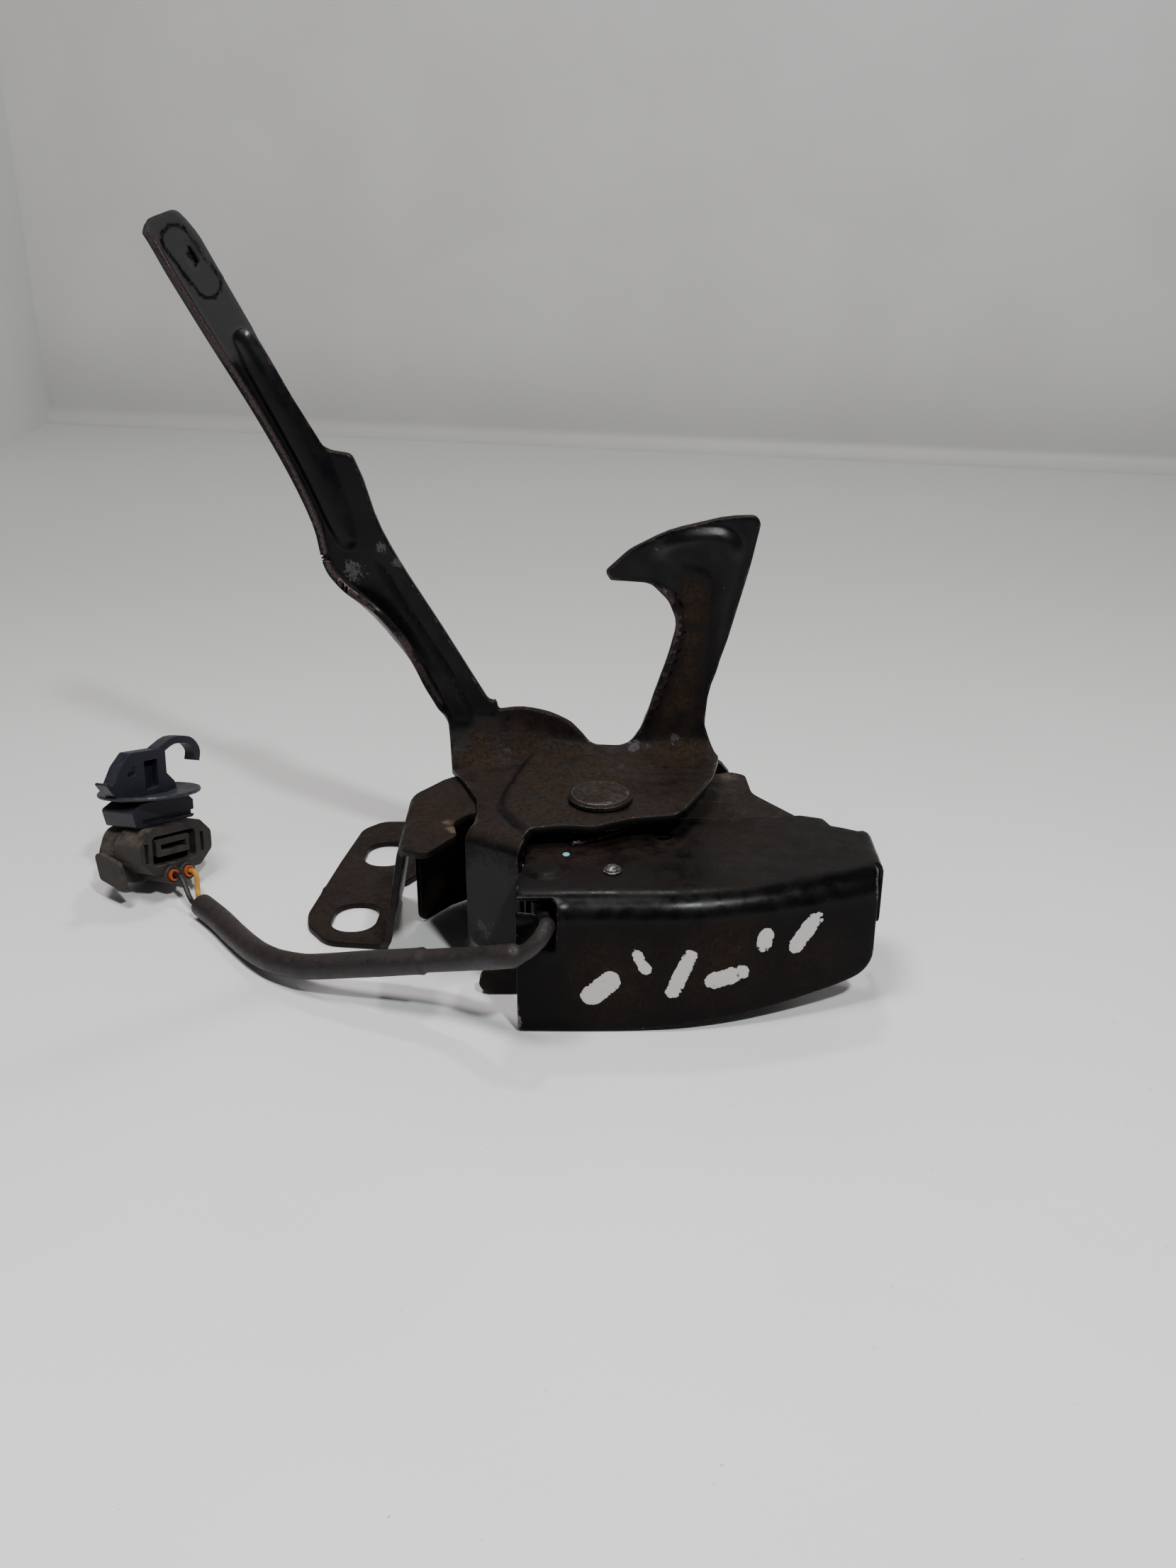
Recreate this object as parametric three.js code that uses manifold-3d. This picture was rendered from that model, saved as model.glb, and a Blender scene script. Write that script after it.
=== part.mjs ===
// A car bonnet latch: a pressed bracket that carries a striker fork and its pawl, a safety stamping
// (hook, finger lever and leg in one sheet) that swings on a vertical rivet, a folded front shield,
// and a hood-ajar switch whose lead ends in a two-way connector with a harness clip.
//
// Millimetres. The origin is on the underside of the mounting flange, between its two bolt holes.
// +Z is up, towards the bonnet, +X runs from the flange to the shield's far end, and +Y runs away
// from the shield, towards the striker side.

import * as THREE from "three";
import { mergeVertices } from "three/addons/utils/BufferGeometryUtils.js";
import Module from "manifold-3d";

const wasm = await Module();
wasm.setup();

// ---------------------------------------------------------------- driving dimensions

const BASE_SHEET = 2.0;
const SHIELD_SHEET = 1.2;
const SAFETY_SHEET = 2.2;
const CLEARANCE = 0.3;

const WEB_TOP = 36.4; // top of the base plate's web
const RAISED_TOP = 41.2; // top of the raised left bracket
const SHIELD_TOP = 38.0; // top of the shield's web, which lies on the base plate's web
const SAFETY_TOP = 44.8; // top of the safety stamping's rivet plate
const FLOOR_GAP = 0.05;

const PIVOT = { x: 68.3, y: -32.2 }; // axis of the safety rivet, along Z
const PIVOT_SHANK = 4.5;
const PIVOT_BORE = 4.8;
const PIVOT_HEAD = 8.7;

const HOOK_PLANE = 5; // Y of the hook's and finger lever's sheet centre
const SHIELD_FRONT = -76.4; // Y of the shield's front sheet centre

const REAR_WALL = { from: 12, to: 14 }; // Y span
const FRONT_WALL = { from: -50, to: -48 };
const CLAW_PLANE = { from: 14.6, to: 17.6 }; // Y span of the fork and the pawl

const FORK_AXIS = { x: 97, z: 26 };
const FORK_PIN = 4.0;
const FORK_BORE = 4.3;
const STRIKER = { x: 73, z: 30, slot: 4.5 }; // where the striker bar sits when latched
const SHAFT_AXIS = { x: 55, z: 31 };
const SHAFT = 3.0;
const SHAFT_BORE = 3.4;

const RELEASE_PLANE = { from: -59.2, to: -56.7 };
const SHEATH_RADIUS = 3.5;
const TAIL_RADIUS = 2.1;
const WIRE_RADIUS = 0.8;

const ARC_STEP = Math.PI / 10; // coarsest turn between two points of a rounded corner

// ---------------------------------------------------------------- materials

const finish = (color, roughness, metalness) => () =>
  new THREE.MeshStandardMaterial({ color, roughness, metalness });
const blackCoat = finish(0x2b2724, 0.5, 0.4);
const dustyCoat = finish(0x4a4038, 0.8, 0.2);
const steel = finish(0x8a8580, 0.4, 0.9);
const springSteel = finish(0x55524e, 0.35, 0.9);
const zinc = finish(0x8f7a4e, 0.4, 0.8);
const blackPlastic = finish(0x1d1d20, 0.6, 0);
const greyPlastic = finish(0x4b4844, 0.7, 0);
const bluePlastic = finish(0x23252f, 0.5, 0);
const blackRubber = finish(0x171615, 0.85, 0);
const orangeRubber = finish(0xd0532a, 0.6, 0);
const sheathVinyl = finish(0x2a2628, 0.45, 0);
const yellowVinyl = finish(0xd89a2c, 0.5, 0);

// ---------------------------------------------------------------- outlines

// Points are [x, y] or [x, y, corner radius]. Each rounded corner becomes a true arc.
function rounded(points, closed = true) {
  const out = [];
  const count = points.length;
  points.forEach(([x, y, radius], i) => {
    const corner = new THREE.Vector2(x, y);
    if (!radius || (!closed && (i === 0 || i === count - 1))) {
      out.push(corner);
      return;
    }
    const before = new THREE.Vector2(...points[(i + count - 1) % count].slice(0, 2));
    const after = new THREE.Vector2(...points[(i + 1) % count].slice(0, 2));
    const back = before.sub(corner).normalize();
    const ahead = after.sub(corner).normalize();
    const turn = Math.PI - Math.acos(THREE.MathUtils.clamp(back.dot(ahead), -1, 1));
    const reach = radius * Math.tan(turn / 2);
    const centre = back.clone().add(ahead).normalize();
    centre.multiplyScalar(radius / Math.cos(turn / 2)).add(corner);
    const start = back.clone().multiplyScalar(reach).add(corner);
    const sign = Math.sign(ahead.x * back.y - ahead.y * back.x);
    const steps = Math.max(1, Math.ceil(turn / ARC_STEP));
    for (let k = 0; k <= steps; k++) {
      out.push(start.clone().rotateAround(centre, (sign * turn * k) / steps));
    }
  });
  return out;
}

// A strip of constant thickness along an open centre line, such as a bent sheet seen edge-on.
function stripShape(points, thickness) {
  const line = rounded(points, false);
  const normals = line.map((p, i) => {
    const a = line[Math.max(0, i - 1)];
    const b = line[Math.min(line.length - 1, i + 1)];
    const along = b.clone().sub(a).normalize();
    return new THREE.Vector2(-along.y, along.x).multiplyScalar(thickness / 2);
  });
  const left = line.map((p, i) => p.clone().add(normals[i]));
  const right = line.map((p, i) => p.clone().sub(normals[i])).reverse();
  return new THREE.Shape([...left, ...right]);
}

const shapeOf = (points) => new THREE.Shape(rounded(points));

function discShape(x, y, radius, sides = 24) {
  const at = (i) => (2 * Math.PI * i) / sides;
  const points = Array.from({ length: sides }, (_, i) => [
    x + radius * Math.cos(at(i)),
    y + radius * Math.sin(at(i)),
  ]);
  return shapeOf(points);
}

// ---------------------------------------------------------------- solids

// A closed geometry as a solid that can be joined and cut.
function solidOf(geometry) {
  const plain = geometry.clone();
  plain.deleteAttribute("normal");
  plain.deleteAttribute("uv");
  const merged = mergeVertices(plain, 1e-4);
  return new wasm.Manifold(
    new wasm.Mesh({
      numProp: 3,
      vertProperties: new Float32Array(merged.attributes.position.array),
      triVerts: new Uint32Array(merged.index.array),
    }),
  );
}

function geometryOf(solid) {
  const data = solid.getMesh();
  const vertices = new Float32Array(data.numVert * 3);
  for (let i = 0; i < data.numVert; i++) {
    const from = i * data.numProp;
    vertices.set(data.vertProperties.subarray(from, from + 3), i * 3);
  }
  const geometry = new THREE.BufferGeometry();
  geometry.setAttribute("position", new THREE.BufferAttribute(vertices, 3));
  geometry.setIndex(new THREE.BufferAttribute(data.triVerts, 1));
  geometry.computeVertexNormals();
  return geometry;
}

const join = (...solids) => solids.reduce((a, b) => a.add(b));
const cut = (body, ...tools) => tools.reduce((a, b) => a.subtract(b), body);

// Extrudes an outline along an axis. The outline is drawn in (x, y) for "z", (x, z) for "y"
// and (y, z) for "x".
const FRAMES = {
  x: [new THREE.Vector3(0, 1, 0), new THREE.Vector3(0, 0, 1), new THREE.Vector3(1, 0, 0)],
  y: [new THREE.Vector3(1, 0, 0), new THREE.Vector3(0, 0, 1), new THREE.Vector3(0, -1, 0)],
  z: [new THREE.Vector3(1, 0, 0), new THREE.Vector3(0, 1, 0), new THREE.Vector3(0, 0, 1)],
};

function slabGeometry(shape, axis, from, to, steps = 1) {
  const depth = to - from;
  const geometry = new THREE.ExtrudeGeometry(shape, { depth, steps, bevelEnabled: false });
  geometry.applyMatrix4(new THREE.Matrix4().makeBasis(...FRAMES[axis]));
  const start = axis === "y" ? to : from;
  const shift = { x: [start, 0, 0], y: [0, start, 0], z: [0, 0, start] }[axis];
  return geometry.translate(...shift);
}

const slab = (shape, axis, from, to) => solidOf(slabGeometry(shape, axis, from, to));
const disc = (axis, [a, b], radius, from, to, sides) =>
  slab(discShape(a, b, radius, sides), axis, from, to);

// A body turned about an axis, from [radius, height] points that start and end on that axis.
function turned(points, sides = 28) {
  const profile = points.map(([r, h]) => new THREE.Vector2(r, h));
  return new THREE.LatheGeometry(profile, sides).rotateX(Math.PI / 2);
}

// A round wire or tube along a curve.
function tube(curve, radius, sides, steps) {
  const section = discShape(0, 0, radius, sides);
  return new THREE.ExtrudeGeometry(section, { extrudePath: curve, steps, bevelEnabled: false });
}

// A torsion spring about Z: a helix with two straight tangential legs.
function torsionSpring({ mean, wire, turns, pitch, legs, start = 0 }) {
  const points = [];
  const perTurn = 10;
  const total = Math.round(turns * perTurn);
  const at = (angle, height) =>
    new THREE.Vector3(mean * Math.cos(angle), mean * Math.sin(angle), height);
  const tangent = (angle) => new THREE.Vector3(-Math.sin(angle), Math.cos(angle), 0);
  const last = start + (2 * Math.PI * total) / perTurn;
  const lift = (pitch * total) / perTurn;
  points.push(at(start, 0).addScaledVector(tangent(start), -legs[0]));
  for (let i = 0; i <= total; i++) {
    points.push(at(start + (2 * Math.PI * i) / perTurn, (pitch * i) / perTurn));
  }
  points.push(at(last, lift).addScaledVector(tangent(last), legs[1]));
  const curve = new THREE.CatmullRomCurve3(points, false, "centripetal");
  return tube(curve, wire / 2, 6, total * 2 + 8);
}

// ---------------------------------------------------------------- assembly

const latch = new THREE.Group();

function add(name, shape, material, parent = latch) {
  const geometry = shape.isBufferGeometry ? shape : geometryOf(shape);
  const mesh = new THREE.Mesh(geometry, material());
  mesh.name = name;
  parent.add(mesh);
  return mesh;
}

// The base plate: flange, bracket wall, raised bracket, web with the rear lug, and two walls that
// hang from the web. The rear wall has the striker's throat and reaches down to the flange's plane.
function basePlate() {
  const raised = RAISED_TOP - BASE_SHEET / 2;
  const web = WEB_TOP - BASE_SHEET / 2;
  const section = stripShape(
    [
      [-20, BASE_SHEET / 2],
      [8.5, BASE_SHEET / 2, 4],
      [16.2, raised, 5],
      [36, raised, 3],
      [42.5, web, 3],
      [130, web],
    ],
    BASE_SHEET,
  );
  const plan = shapeOf([
    [4.8, 44.7, 2],
    [-2.6, 44.7, 6],
    [-8.5, 38.7, 8],
    [-12.3, 15.2, 60],
    [-16.8, -18, 12],
    [-15.6, -25, 8],
    [-9.2, -33.9, 8],
    [6.6, -35.8, 3],
    [9.5, -38],
    [17.3, -52.5],
    [22.5, -56.2, 3],
    [30.2, -46.2, 3],
    [28.4, -35.4, 3],
    [34, -32],
    [44, -44.5],
    [48.4, -50],
    [122, -50, 3],
    [125, -47, 3],
    [125, -27, 4],
    [112.3, -8.8, 8],
    [111.6, 4.4, 3],
    [107, 7, 3],
    [101, 3.2, 3],
    [100, 14],
    [43, 14],
    [43, -1, 3],
    [28.1, -6.2, 4],
    [23.7, -9.9, 4],
    [16.9, -19.5, 6],
    [7.5, -2, 3],
    [4.9, 0],
    [4.9, 40],
  ]);
  const folded = slab(section, "y", -60, 50).intersect(slab(plan, "z", -5, 60));

  // Beyond the bracket wall the flange stays flat and is wider round the far hole.
  const flangeEnd = slab(
    shapeOf([
      [2, 0.6],
      [6, 0.6],
      [9.6, 2.4, 2],
      [14, 9, 8],
      [14, 38, 6],
      [9, 44.2, 6],
      [2, 44.2],
    ]),
    "z",
    0.03,
    BASE_SHEET - 0.03,
  );

  // The raised bracket's rear edge is turned down almost to the flange's plane, which stiffens it.
  const rearRim = slab(
    shapeOf([
      [15.4, -20.6],
      [16.9, -21.5],
      [24.6, -11.4, 4],
      [29, -7.9, 4],
      [43.6, -2.6],
      [43, -1],
      [28.1, -6.2, 4],
      [23.2, -10.2, 4],
    ]),
    "z",
    0.8,
    raised,
  );

  const rearWall = slab(
    shapeOf([
      [43, WEB_TOP],
      [43, 4, 4],
      [47, 0],
      [108, 0],
      [112, 4, 4],
      [112, 26, 4],
      [104, 31, 3],
      [100, WEB_TOP],
    ]),
    "y",
    REAR_WALL.from,
    REAR_WALL.to,
  );
  const frontWall = slab(
    shapeOf([
      [48.4, WEB_TOP],
      [48.4, 9, 4],
      [53, 4, 3],
      [118, 4, 3],
      [122, 8, 3],
      [122, WEB_TOP],
    ]),
    "y",
    FRONT_WALL.from,
    FRONT_WALL.to,
  );

  const slot = STRIKER.slot;
  const throat = join(
    slab(
      shapeOf([
        [STRIKER.x - slot, 60],
        [STRIKER.x - slot, STRIKER.z],
        [STRIKER.x + slot, STRIKER.z],
        [STRIKER.x + slot, 60],
      ]),
      "y",
      6.5,
      20,
    ),
    disc("y", [STRIKER.x, STRIKER.z], slot, 6.5, 20),
  );

  // The two bolt holes are oblong across the flange's length.
  const boltHole = (x, y) =>
    slab(
      shapeOf([
        [x - 7, y - 8.5, 6],
        [x + 6, y - 8.5, 6],
        [x + 7, y + 8.5, 6],
        [x - 6, y + 8.5, 6],
      ]),
      "z",
      -2,
      6,
    );

  return cut(
    join(folded, flangeEnd, rearRim, rearWall, frontWall),
    throat,
    boltHole(-2.6, -20),
    boltHole(1.5, 21),
    disc("z", [PIVOT.x, PIVOT.y], PIVOT_BORE, 30, 40),
    disc("z", [85.1, -39.5], 2.6, 30, 40, 12),
    disc("y", [FORK_AXIS.x, FORK_AXIS.z], FORK_BORE, 10, 16),
    disc("y", [SHAFT_AXIS.x, SHAFT_AXIS.z], SHAFT_BORE, 10, 16),
    disc("y", [SHAFT_AXIS.x, SHAFT_AXIS.z], SHAFT_BORE, -52, -46),
  );
}

// How far the shield's front sheet falls back towards its far end.
const SWEEP_FROM = 85;
const SWEEP_LENGTH = 54;
const SWEEP_DEPTH = 14;
const sweep = (x) => SWEEP_DEPTH * Math.max(0, (x - SWEEP_FROM) / SWEEP_LENGTH) ** 1.6;

// The shield: a web on the base plate's web, a rolled front edge, and a front sheet whose far half
// sweeps back. Its far end is bent down on its own.
function frontShield() {
  const web = SHIELD_TOP - SHIELD_SHEET / 2;
  const section = stripShape(
    [
      [-20, web],
      [SHIELD_FRONT, web, 7],
      [SHIELD_FRONT, -4],
    ],
    SHIELD_SHEET,
  );
  const sheet = slabGeometry(section, "x", 46, 139.4, 24);
  const place = sheet.attributes.position;
  for (let i = 0; i < place.count; i++) place.setY(i, place.getY(i) + sweep(place.getX(i)));

  const elevation = shapeOf([
    [47, FLOOR_GAP],
    [75, FLOOR_GAP],
    [139.3, 9.6, 8],
    [139.3, 50],
    [47, 50],
  ]);
  const plan = shapeOf([
    [46.9, -80],
    [46.9, -62],
    [48.5, -58],
    [48.5, -27.5],
    [95, -27.5],
    [123.7, -27.5, 3],
    [129.6, -29, 3],
    [131.5, -33.7, 1.5],
    [134.6, -35, 3],
    [139.3, -54],
    [139.3, -80],
  ]);
  const window = slab(
    shapeOf([
      [40, 33.5],
      [52.6, 33.5, 1.5],
      [52.6, 24, 1],
      [57, 24, 1.5],
      [57, 36.2, 1.5],
      [40, 36.2],
    ]),
    "y",
    -85,
    -66,
  );
  const front = solidOf(sheet)
    .intersect(slab(elevation, "y", -90, 0))
    .intersect(slab(plan, "z", -5, 60));

  const endSection = stripShape(
    [
      [132, web],
      [141.4, web, 3],
      [141.4, 19],
    ],
    SHIELD_SHEET,
  );
  const endPlan = shapeOf([
    [130, -60],
    [144, -60],
    [144, -36, 3],
    [130, -40],
  ]);
  const end = slab(endSection, "y", -62, -30).intersect(slab(endPlan, "z", 0, 60));

  return cut(
    join(front, end),
    window,
    disc("z", [PIVOT.x, PIVOT.y], PIVOT_BORE, 30, 40),
    disc("z", [85.1, -39.5], 2.6, 30, 40, 12),
    disc("z", [71.2, -60.8], 1.6, 30, 40, 12),
  );
}

// The safety stamping. The rivet plate turns up into the sheet that holds the hook on the right and
// the finger lever on the left, and a leg turns down at the front left.
function safetyLever() {
  const plate = SAFETY_TOP - SAFETY_SHEET / 2;
  const section = stripShape(
    [
      [-62, plate],
      [HOOK_PLANE, plate, 7],
      [HOOK_PLANE, 210],
    ],
    SAFETY_SHEET,
  );
  const elevation = shapeOf([
    [26.4, 40],
    [25.8, 46, 10],
    [24, 52.4, 20],
    [15.2, 72, 30],
    [-5.5, 95, 8],
    [-10.2, 111.7, 30],
    [-23.7, 142.1, 200],
    [-47.8, 186.4, 4],
    [-47.8, 190.2, 2.5],
    [-39.6, 193.4, 2.5],
    [-33, 184, 20],
    [-14, 146, 60],
    [-5.8, 131.4, 5],
    [1.4, 130.6, 3],
    [6.9, 112.4, 30],
    [32.7, 65.5, 30],
    [36.2, 58.4, 3],
    [47, 58, 20],
    [60, 53.4, 8],
    [66.4, 45.6, 5],
    [77, 45.6, 8],
    [84, 62.8, 40],
    [90.8, 86.4, 5],
    [83.4, 95, 4],
    [71, 95.8],
    [69.4, 98.2, 1.6],
    [79, 107, 40],
    [96, 113.2, 40],
    [113.6, 114.4, 3],
    [112, 106, 20],
    [99.8, 62.8, 30],
    [99.1, 50, 12],
    [103, 43, 3],
    [102.8, 40],
  ]);
  const plan = shapeOf([
    [-60, 9],
    [-60, 2],
    [24, 2],
    [27.5, -8, 12],
    [34.6, -29.6, 6],
    [35.9, -43.1],
    [48.5, -51.5, 1.5],
    [50.6, -49.2, 4],
    [58.1, -47.5, 8],
    [67, -48.6, 8],
    [76.7, -43.2, 20],
    [88.6, -41, 3],
    [91.6, -36.4, 4],
    [100.3, -15.2, 8],
    [103, -1],
    [103, 2],
    [116, 2],
    [116, 9],
  ]);
  const stamping = slab(section, "x", -60, 116)
    .intersect(slab(elevation, "y", -70, 20))
    .intersect(slab(plan, "z", 30, 210));

  // The leg's fold line runs from the left edge towards the shield.
  const foldStart = new THREE.Vector2(32.9, -45.9);
  const foldEnd = new THREE.Vector2(47.3, -55.5);
  const along = foldEnd.clone().sub(foldStart);
  const legSection = stripShape(
    [
      [5.5, plate],
      [0, plate, 3.6],
      [0, 10.2],
    ],
    SAFETY_SHEET,
  );
  const leg = slabGeometry(legSection, "x", 0, along.length());
  leg.rotateZ(along.angle());
  leg.translate(foldStart.x, foldStart.y, 0);

  const bore = disc("z", [PIVOT.x, PIVOT.y], PIVOT_BORE, 30, 60);
  return cut(join(stamping, solidOf(leg)), bore);
}

// The safety rivet: shank, wide flat head above the stamping, and a tail upset below the web.
function pivotRivet() {
  const head = SAFETY_TOP + CLEARANCE;
  const tail = WEB_TOP - BASE_SHEET - CLEARANCE;
  return turned([
    [0, head + 2],
    [PIVOT_HEAD - 0.9, head + 2],
    [PIVOT_HEAD, head + 1.2],
    [PIVOT_HEAD, head + 0.3],
    [PIVOT_HEAD - 0.3, head],
    [PIVOT_SHANK, head],
    [PIVOT_SHANK, tail],
    [6.4, tail],
    [6.4, tail - 1.4],
    [5.6, tail - 2.2],
    [0, tail - 2.2],
  ].reverse());
}

function ring(axis, [a, b], outer, inner, from, to) {
  return disc(axis, [a, b], outer, from, to).subtract(
    disc(axis, [a, b], inner, from - 1, to + 1),
  );
}

// The fork (claw): two prongs that hold the striker between them, and the tooth that the pawl stops.
function latchFork() {
  const reach = new THREE.Vector2(STRIKER.x - FORK_AXIS.x, STRIKER.z - FORK_AXIS.z);
  const angle = reach.angle();
  const along = (u, v, radius) => {
    const p = new THREE.Vector2(u, v).rotateAround(new THREE.Vector2(), angle);
    return [FORK_AXIS.x + p.x, FORK_AXIS.z + p.y, radius];
  };
  const half = STRIKER.slot;
  const depth = reach.length() - half;
  const prongs = shapeOf([
    along(0, -12, 4),
    along(16, -12, 4),
    along(31, -8.6, 2),
    along(31.6, -half, 1.2),
    along(depth + half, -half, 0),
    along(depth, -half, half * 0.98),
    along(depth, half, half * 0.98),
    along(28, half, 1.5),
    along(27, 9, 3),
    along(8, 10.5, 5),
    along(0, 8, 2),
  ]);
  const toothAt = (radius, degrees) => {
    const a = THREE.MathUtils.degToRad(degrees);
    return [FORK_AXIS.x + radius * Math.cos(a), FORK_AXIS.z + radius * Math.sin(a)];
  };
  const tooth = shapeOf([
    toothAt(8, 225),
    toothAt(16.6, 236),
    [...toothAt(17, 240.5), 0.5],
    [...toothAt(20.4, 239), 0.8],
    [...toothAt(20.4, 262), 4],
    toothAt(13.5, 290),
    toothAt(6, 330),
  ]);
  const { from, to } = CLAW_PLANE;
  const hub = [FORK_AXIS.x, FORK_AXIS.z];
  return cut(
    join(slab(prongs, "y", from, to), disc("y", hub, 12.5, from, to), slab(tooth, "y", from, to)),
    disc("y", hub, FORK_BORE, from - 1, to + 1),
  );
}

function forkPin() {
  const rearHead = 23;
  return solidOf(
    turned([
      [0, 25],
      [5.8, 25],
      [6.8, 24.2],
      [6.8, rearHead],
      [FORK_PIN, rearHead],
      [FORK_PIN, 11.7],
      [6, 11.7],
      [6, 10.4],
      [5, 9.6],
      [0, 9.6],
    ].reverse())
      .rotateX(-Math.PI / 2)
      .translate(FORK_AXIS.x, 0, FORK_AXIS.z),
  );
}

// The pawl hangs from its shaft and its nose blocks the fork's tooth.
function pawl() {
  const { from, to } = CLAW_PLANE;
  const hub = [SHAFT_AXIS.x, SHAFT_AXIS.z];
  const arm = shapeOf([
    [49.2, 31],
    [52, 17, 8],
    [59, 9, 5],
    [70, 5.6, 12],
    [79, 6.2, 8],
    [83.6, 9.4, 1],
    [85.6, 13.2, 1],
    [78, 12.2, 8],
    [68, 12.6, 4],
    [61.4, 19, 6],
    [60.8, 31],
  ]);
  return cut(
    join(slab(arm, "y", from, to), disc("y", hub, 6.5, from, to)),
    disc("y", hub, SHAFT + 0.3, from - 1, to + 1),
  );
}

function pawlShaft() {
  return turned([
    [0, 23],
    [SHAFT - 0.5, 23],
    [SHAFT, 22.4],
    [SHAFT, -60.2],
    [SHAFT - 0.5, -60.8],
    [0, -60.8],
  ].reverse(), 20)
    .rotateX(-Math.PI / 2)
    .translate(SHAFT_AXIS.x, 0, SHAFT_AXIS.z);
}

// The release lever: its hub is on the shaft's front end, its foot sticks out below the bracket for
// the release cable, and a small tab in front of it holds the switch plunger in.
function releaseLever() {
  const { from, to } = RELEASE_PLANE;
  const hub = [SHAFT_AXIS.x, SHAFT_AXIS.z];
  const arm = shapeOf([
    [50.2, 31],
    [51, 12, 3],
    [49, 6.8, 3],
    [36, 6.8, 3],
    [36, 0.7, 3],
    [69.5, 1.4, 1],
    [69.5, 6, 1],
    [60, 7, 3],
    [59.8, 31],
  ]);
  const tab = slab(
    shapeOf([
      [62.5, 3.6],
      [69.5, 3.6],
      [69.5, 6],
      [62.5, 6],
    ]),
    "y",
    -65,
    from + 0.5,
  );
  return cut(
    join(slab(arm, "y", from, to), disc("y", hub, 5.4, from, to), tab),
    disc("y", hub, SHAFT + 0.3, from - 1, to + 1),
  );
}

// The switch: a block behind the shield with a step where the lead's gland sits.
const SWITCH = { left: 50.6, right: 74.6, bottom: 12, top: 32.6, front: -74.4, back: -61.2 };
const GLAND = { x: 54.6, z: 31 - 2 };
const PLUNGER = { x: 66, y: -63, travel: 2.5, tip: 6.4 };
const SCREW = { y: -65, z: 20 };

function switchBody() {
  const { left, right, bottom, top, front, back } = SWITCH;
  const plan = shapeOf([
    [left, back, 1],
    [left, -68, 1],
    [58.4, -68, 1],
    [58.4, front, 1.5],
    [right, front, 1.5],
    [right, back, 1],
  ]);
  return cut(
    slab(plan, "z", bottom, top),
    disc("z", [PLUNGER.x, PLUNGER.y - 1.6], 1.8, bottom - 1, bottom + 7, 14),
    disc("x", [SCREW.y, SCREW.z], 1.4, right - 6, right + 1, 12),
  );
}

function switchPlunger() {
  const plunger = turned([
    [0, 18],
    [1.4, 18],
    [1.4, PLUNGER.tip + 0.8],
    [0.9, PLUNGER.tip],
    [0, PLUNGER.tip],
  ].reverse(), 16);
  return plunger.translate(PLUNGER.x, PLUNGER.y - 1.6, 0);
}

function switchBracket() {
  const top = SHIELD_TOP - SHIELD_SHEET - CLEARANCE;
  const centre = top - 0.6;
  const section = stripShape(
    [
      [60, centre],
      [75.8, centre, 1.8],
      [75.8, 14],
    ],
    1.2,
  );
  const leaf = slab(section, "y", -74, -54);
  const edge = slab(
    shapeOf([
      [61, -69, 3],
      [80, -69],
      [80, -60, 3],
      [76, -56, 3],
      [61, -56, 3],
    ]),
    "z",
    0,
    60,
  );
  return cut(
    leaf.intersect(edge),
    disc("z", [71.2, -60.8], 1.6, 30, 40, 12),
    disc("x", [SCREW.y, SCREW.z], 1.6, 70, 80, 12),
  );
}

// The small dome rivet that holds the switch bracket under the shield's web.
function bracketRivet() {
  const head = SHIELD_TOP + CLEARANCE;
  const tail = SHIELD_TOP - SHIELD_SHEET - CLEARANCE - 1.2 - CLEARANCE;
  return turned([
    [0, head + 1.5],
    [1.1, head + 1.3],
    [2, head + 0.7],
    [2.4, head],
    [1.3, head],
    [1.3, tail],
    [2, tail],
    [1.8, tail - 0.9],
    [0, tail - 1],
  ].reverse(), 16).translate(71.2, -60.8, 0);
}

function switchScrew() {
  const face = 76.4 + CLEARANCE;
  return turned([
    [0, face + 1.6],
    [1.8, face + 1.5],
    [2.4, face + 0.8],
    [2.4, face],
    [1.1, face],
    [1.1, SWITCH.right - 5],
    [0, SWITCH.right - 5.4],
  ].reverse(), 14)
    .rotateY(Math.PI / 2)
    .translate(0, SCREW.y, SCREW.z);
}

function gland() {
  return turned([
    [0, -3.2],
    [2.2, -3.2],
    [2.5, -2.6],
    [3, -0.4],
    [3, 0],
    [0, 0],
  ], 16)
    .rotateX(-Math.PI / 2)
    .translate(GLAND.x, -68 - CLEARANCE, GLAND.z);
}

// ---------------------------------------------------------------- lead

// The lead leaves the gland, comes out of the window, drops to the ground and runs to the connector.
const LEAD = [
  [54.6, -72.4, 29],
  [54.8, -74.8, 29.6],
  [54.8, -78.2, 31.6],
  [54.2, -81.2, 31.6],
  [52.4, -82.9, 29.6],
  [48.9, -83.1, 26.8],
  [43.5, -81, 24.6],
  [35, -74.5, 20.2],
  [23, -69, 16.3],
  [7.1, -64, 12.4],
  [-7.4, -59, 8.6],
  [-13.6, -55.6, 7],
  [-20.5, -50.3, 5.4],
  [-27.1, -43.2, 4.3],
  [-34.5, -33.4, 3.7],
  [-40.6, -24.9, 3.6],
  [-47.9, -16.1, 3.6],
].map((p) => new THREE.Vector3(...p));
const SHEATH_STARTS_AT = 5; // index of the point where the sheath begins

function lead() {
  const whole = new THREE.CatmullRomCurve3(LEAD, false, "centripetal");
  const split = SHEATH_STARTS_AT / (LEAD.length - 1);
  const sample = (from, to, count) =>
    Array.from({ length: count + 1 }, (_, i) => whole.getPoint(from + ((to - from) * i) / count));
  const gap = 0.004;
  const tail = new THREE.CatmullRomCurve3(sample(0, split - gap, 14), false, "centripetal");
  const sheath = new THREE.CatmullRomCurve3(sample(split + gap, 1, 40), false, "centripetal");
  add("lead_tail", tube(tail, TAIL_RADIUS, 8, 14), blackRubber);
  add("lead_sheath", tube(sheath, SHEATH_RADIUS, 12, 44), sheathVinyl);
}

// ---------------------------------------------------------------- connector

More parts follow.
